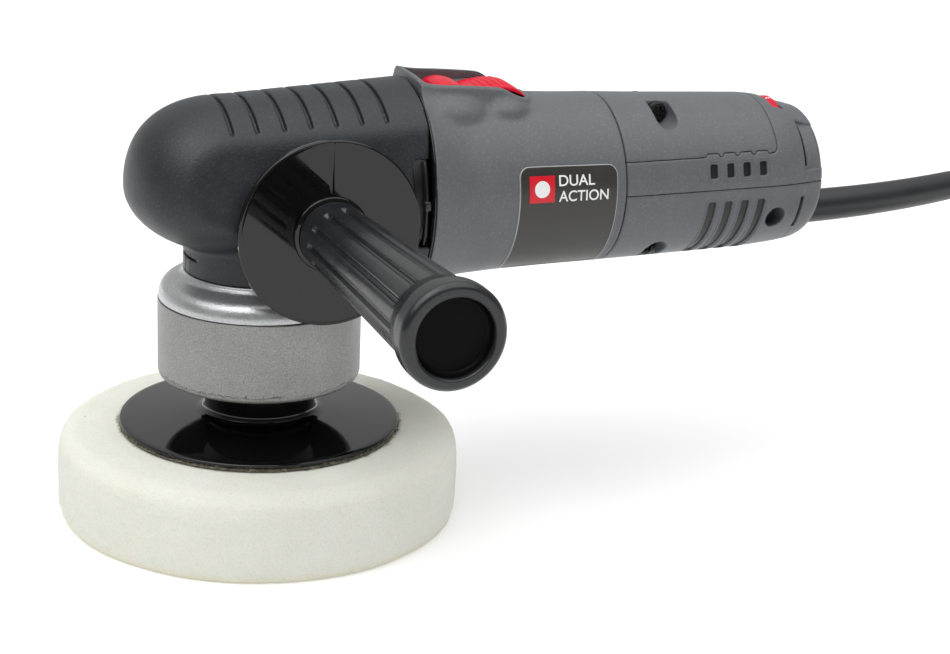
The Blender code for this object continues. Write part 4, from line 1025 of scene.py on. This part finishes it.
def make_plate(side, name, node):
    """A thin plate wrapped round the barrel, its corners rounded, with a paler raised edge."""
    count, corner, border = 90, 4.5, 0.44
    middle_x, middle_arc, half_x, half_arc = 117.0, -12.8, 21.9, 26.6

    def spread_out(i):
        """Steps from -1 to 1 that get shorter towards both ends."""
        return -math.cos(math.pi * i / count)

    def from_edge(i, j):
        return min((1 - abs(spread_out(i))) * half_x, (1 - abs(spread_out(j))) * half_arc)

    points = []
    for i in range(count + 1):
        for j in range(count + 1):
            x, arc = spread_out(i) * half_x, spread_out(j) * half_arc
            over_x, over_arc = abs(x) - (half_x - corner), abs(arc) - (half_arc - corner)
            if over_x > 0 and over_arc > 0:
                share = max(over_x, over_arc) / math.hypot(over_x, over_arc)
                x = math.copysign(half_x - corner + over_x * share, x)
                arc = math.copysign(half_arc - corner + over_arc * share, arc)
            edge = from_edge(i, j)
            lift = 0.12 + 0.28 * smoothstep(edge / 0.35) - 0.14 * smoothstep((edge - 0.5) / 0.3)
            points.append(on_barrel(side, middle_x + x, middle_arc + arc, lift))
    piece = mesh_piece(f"side_plate_{name}", points, quad_grid(count, count)[:, ::side], "label_film", node)
    piece.data.materials.append(LOOKS["label_edge"])
    marks = [int(from_edge(i + 0.5, j + 0.5) < border) for i in range(count) for j in range(count)]
    piece.data.polygons.foreach_set("material_index", marks)


def make_emblem():
    """A plain red square with a white disc, and two plain words, printed on the near plate."""
    lift = 0.4
    count = 12
    steps = np.arange(count + 1) / count
    square = [on_barrel(-1, 99.4 + 11.1 * u, -0.6 + 10.6 * v, lift) for u in steps for v in steps]
    mesh_piece("emblem_square", square, quad_grid(count, count)[:, ::-1], "emblem_red", slot="label_film")
    rings, around = 4, 40
    disc = []
    for reach in 0.02 + 3.3 * np.arange(rings + 1) / rings:
        for turn in np.arange(around + 1) * 2 * math.pi / around:
            x, y, z = on_barrel(-1, 104.95 + reach * math.cos(turn), 4.7 + reach * math.sin(turn), lift)
            disc.append((x, y - 0.08, z))
    mesh_piece("emblem_disc", disc, quad_grid(rings, around)[:, ::-1], "digit", slot="label_film")
    left = 112.4
    for word, right, low, high in (("DUAL", 128.4, 5.6, 10.0), ("ACTION", 134.6, -0.6, 3.8)):
        text = bpy.data.curves.new("word", "FONT")
        text.body = word
        text.offset = 0.01
        holder = add_object("word", text)
        bpy.context.view_layer.update()
        mesh = bpy.data.meshes.new_from_object(holder.evaluated_get(bpy.context.evaluated_depsgraph_get()))
        bpy.data.objects.remove(holder)
        mesh.name = "word_" + word.lower()
        mesh.materials.clear()
        spots = np.array([vertex.co[:2] for vertex in mesh.vertices])
        shares = (spots - spots.min(0)) / (spots.max(0) - spots.min(0))
        for vertex, (u, v) in zip(mesh.vertices, shares):
            spot = on_barrel(-1, left + (right - left) * u, low + (high - low) * v, lift)
            vertex.co = Vector(spot) * MM
        place(add_object(mesh.name, mesh), "digit", slot="label_film")


# Heights of the slider's middle line, from front to rear
SLIDER_TOP = (
    (69.4, 173.8), (70.0, 174.9), (71.6, 176.0), (75.2, 176.7), (78.6, 176.1), (81.0, 174.6), (82.6, 173.4),
    (84.0, 173.2), (86.0, 173.9), (90.0, 174.6), (94.0, 175.1), (97.8, 175.2), (101.6, 174.5), (104.8, 172.9),
    (107.0, 171.0), (108.2, 170.0),
)
SLIDER_BOTTOM = ((69.4, 172.6), (97.0, 172.6), (101.4, 172.0), (106.4, 170.0), (108.2, 169.5))


def make_switch():
    step = 0.3
    low, high = (64.5, -12.0, 166.5), (110.0, 12.0, 181.5)
    x, y, z = grid(low, high, step)
    side = np.abs(y)
    flat = x.ravel()
    top = np.interp(flat, *zip(*SLIDER_TOP))
    bottom = np.interp(flat, *zip(*SLIDER_BOTTOM))
    wave = np.clip(np.sin((flat - 87.2) * 2 * math.pi / 2.7), -0.4, 1.0)
    ridged = np.clip((flat - 86.0) / 1.5, 0, 1) * np.clip((102.4 - flat) / 1.5, 0, 1)
    ribs = (0.45 * wave * ridged).astype(np.float32)[:, None, None]
    top = top.astype(np.float32)[:, None, None]
    bottom = bottom.astype(np.float32)[:, None, None]
    crown = 0.9 * (side / 10.6) ** 2
    ribs = ribs * (1.0 - smoothstep((side - 7.6) / 1.6))
    body = soft_max((z - top - ribs + crown) * 0.85, side - 10.6, 1.1)
    body = every(body, bottom - z, slab(x, 69.4, 108.2))
    stem = block([slab(x, 87.2, 92.6), side - 2.6, slab(z, 167.0, 174.0)], 0.4)
    field = any_of(body, stem)
    field_piece("slider_skin", field, low, step, 0.5, "red_plastic", "switch_slider", body="switch")


# ---------------------------------------------------------------- rear covers

def panel_region(x, z):
    """Below zero inside the top panel, whose lower edge steps up round each vent."""
    lift = np.zeros_like(x)
    for vent in VENT_X:
        lift = lift + 1.2 * smoothstep((3.3 - np.abs(x - vent)) / 0.7)
    return soft_max(x - PANEL_REAR, PANEL_BOTTOM + lift - z, 3.6)


def make_rear():
    step = 0.45
    low, high = (142.0, -37.5, 95.0), (244.5, 37.5, 170.0)
    x, y, z = grid(low, high, step)
    side = np.abs(y)
    centre, radius = between(REAR_STATIONS, x)
    outer = (span(y, z - centre) - radius) * 0.97
    outer = soft_max(outer, x - 240.8, 1.6)
    collar_top = (z - 160.6) * 0.94 + (x - 231.0) * 0.08
    outer = soft_max(outer, any_of(collar_top, x - 222.0), 1.0)
    hollow = every(outer + 2.8, x - 238.0)

    def openings(bottom, top, corner, depth):
        """One opening at each vent, cut in from both sides."""
        half = 1.75
        row = [block([slab(x, at - half, at + half), slab(z, bottom, top)], corner) for at in VENT_X]
        return every(any_of(*row), depth - side)

    hole = span(x - 217.0, z - 117.8) - 4.6
    hole_tube = every(hole - 1.6, 17.0 - side, outer)
    hole = every(hole, 18.6 - side)
    shell = every(outer, -hollow)
    shell = any_of(shell, hole_tube)
    for level, at, height, start in SCREWS:
        reach = span(x - at, z - height)
        up = 1 if level == "top" else -1
        shell = any_of(shell, every(reach - 6.0, side - 30.0, outer))
        wide = block([np.abs(x - at) - 5.0, slab(up * (z - height), 0.0, 5.1)], 0.4)
        pocket = every(any_of(reach - 5.0, wide), start - side)
        shank = every(reach - 2.1, start - 6.0 - side)
        shell = every(shell, -pocket, -shank)
    dial = block([slab(x, DIAL_X - 2.9, DIAL_X + 2.9), side - 11.0, 150.0 - z], 0.8)
    cord = span(y, z - CORD_EXIT[2]) - SLEEVE_RADIUS - 0.5
    vents, slots = openings(137.1, 142.8, 0.7, 14.0), openings(80.0, 127.0, 0.5, 12.0)
    shell = every(shell, -vents, -slots, -hole, -every(dial, 150.0 - z), -every(cord, 228.0 - x))
    shell = rear_end_recess(shell, outer, x, side, z)
    channel = block([slab(x, 140.0, 148.8), side - 3.6, slab(z, 150.0, 166.1)])
    shell = every(shell, -channel, 143.55 - x)
    front_lip = every(x - 144.0, -outer - 0.3)
    shell = soft_max(shell, -front_lip, 0.15)
    gap = 0.12
    panel = panel_region(x, z)
    lower = z - PARTING_HEIGHT
    edge = 0.36

    def part(region):
        """The shell inside one region, its visible edges eased."""
        eased = soft_max(shell, region + gap, edge)
        return every(eased, region + gap)

    for name, region, node in (
        ("rear_panel_skin", panel, "rear_top_panel"),
        ("rear_upper_skin", every(-panel, -lower), "rear_shell_upper"),
        ("rear_lower_skin", lower, "rear_shell_lower"),
    ):
        field_piece(name, part(region), low, step, 0.4, "housing_plastic", node)
    make_vent_rims()
    # Painted shade: a black disc across the inside near the dial and a black tube behind the vents and slots,
    # so that the openings show darkness, not the red dial or bright parts inside.
    shade_disc = [(0.0, 228.9), (26.4, 228.9), (26.4, 228.3), (0.0, 228.3)]
    turned("dial_shade_disc", shade_disc, "black_plastic", axis="X", at=(0.0, 0.0, 129.5), steps=96)
    shade_tube = [(33.4, 178.0), (32.9, 196.0), (32.2, 212.0), (31.6, 212.0), (32.3, 196.0), (32.8, 178.0),
             (33.4, 178.0)]
    turned("vent_shade_tube", densified(shade_tube, 3.0), "black_plastic", axis="X", at=(0.0, 0.0, 131.9), steps=160)
    for level, at, height, start in SCREWS:
        for axis, where in (("-Y", "near"), ("Y", "far")):
            make_screw(f"rear_screw_{level}_{where}", axis, (at, 0.0, height), start)


def make_vent_rims():
    """The fine raised line round every vent window and slot."""
    rims = new_curve("vent_rims", 0.3, 2)
    turns = np.arange(96) * 2 * math.pi / 96
    for side in (-1, 1):
        for vent in VENT_X:
            for low, high, half, round_by in ((135.8, 144.2, 3.0, 1.2), (100.9, 128.0, 2.75, 1.4)):
                middle, reach = (low + high) / 2, (high - low) / 2 - round_by
                corners = [(vent + math.copysign(half - round_by, c) + round_by * c,
                            middle + math.copysign(reach, s) + round_by * s)
                           for c, s in zip(np.cos(turns), np.sin(turns))]
                line = []
                for x, z in densified([*corners, corners[0]], 0.8):
                    centre, radius = between(REAR_STATIONS, np.array([x]))
                    y = side * math.sqrt(max((radius[0] - 0.06) ** 2 - (z - centre[0]) ** 2, 1.0))
                    line.append((x, y, z))
                add_line(rims, line)
    place(add_object("vent_rims", rims), "housing_plastic")


def rear_end_recess(shell, outer, x, side, z):
    """The latch recess and slit at the rear edge of each side, and the thin slit below the parting."""
    top = 156.4 - 0.3 * (x - 229.6)
    deep = np.minimum(2.3 - (x - 229.6) * 0.19, (top - z) * 1.2)
    recess = every(slab(x, 229.6, 242.0), slab(z, 137.2, 156.2), -outer - deep, 12.0 - side)
    shell = soft_max(shell, -recess, 0.2)
    slit = every(slab(x, 229.6, 231.6), slab(z, 138.6, 153.2), -outer - 6.0, 12.0 - side)
    under = every(slab(x, 228.3, 229.9), slab(z, 112.0, 126.4), -outer - 6.0, 12.0 - side)
    step_line = every(slab(x, 228.6, 229.1), slab(z, 100.0, 112.5), -outer - 0.35, 8.0 - side)
    return every(shell, -slit, -under, -step_line)


def make_screw(node, axis, at, start):
    """Pan-head screw with a six-lobed socket."""
    profile = outline([
        (0.0, start + 1.0), (1.0, start + 1.0), (2.2, start + 1.1), (2.4, start + 2.5), (3.4, start + 2.4),
        (4.2, start + 1.8), (4.5, start + 0.8), (4.5, start), (1.9, start), (1.9, start - 5.6),
        (0.0, start - 5.6),
    ], 0.25, 0.5, 3)

    def lobes(radius, angle, height):
        in_socket = (radius > 1.4) & (radius < 2.7) & (height > start + 0.9)
        return radius * np.where(in_socket, 1.0 + 0.17 * np.cos(6 * angle), 1.0), height

    turned(node + "_torx", profile, "screw_steel", node, axis=axis, at=at,
           steps=72, shape=lobes)


def make_dial():
    half = DIAL_WIDTH / 2

    def knurled(radius, angle, height):
        rim = (radius > 14.4) * smoothstep((half - np.abs(height)) / 0.3)
        return radius - 0.22 * rim * (0.5 + 0.5 * np.cos(angle * 48)) * (np.abs(height) > 1.2), height

    profile = rounded([(2.0, half), (14.5, half), (DIAL_RADIUS, half - 0.5), (DIAL_RADIUS, 0.5 - half),
                       (14.5, -half), (2.0, -half)], 0.4)
    turned("dial_wheel", densified(profile, 0.6), "red_plastic", "speed_dial", body="dial", axis="X",
           at=(DIAL_X, 0.0, DIAL_HEIGHT), steps=288, shape=knurled)
    for number in range(1, 7):
        name = f"dial_digit_{number}"
        text = bpy.data.curves.new(name, "FONT")
        text.body = str(number)
        text.size = 4.6 * MM
        text.extrude = 0.08 * MM
        text.align_x, text.align_y = "CENTER", "CENTER"
        digit = add_object(name, text)
        turn = math.radians(-12.0 + (number - 3) * 46.0)
        out = Vector((0.0, math.sin(turn), math.cos(turn)))
        forward = Vector((-1.0, 0.0, 0.0))
        facing = Matrix((forward.cross(out), forward, out)).transposed().to_4x4()
        spot = Vector((DIAL_X, 0.0, DIAL_HEIGHT)) + out * (DIAL_RADIUS + 0.02)
        digit.matrix_world = Matrix.Translation(spot * MM) @ facing
        place(digit, "digit", body="dial", slot="red_plastic")


# ---------------------------------------------------------------- everything

def paint_frame():
    """Gives each CAD node that still shows its slot's procedural material."""
    for part in frame["record"]["subparts"]:
        node = frame["nodes"][part["node"]]
        node.data.materials.clear()
        node.data.materials.append(LOOKS[part["material_slot"]])


def main():
    make_camera()
    make_cord()
    make_studio()
    make_pad()
    make_shroud()
    make_boot()
    make_handle()
    make_housing()
    make_switch()
    make_rear()
    make_dial()
    paint_frame()


main()
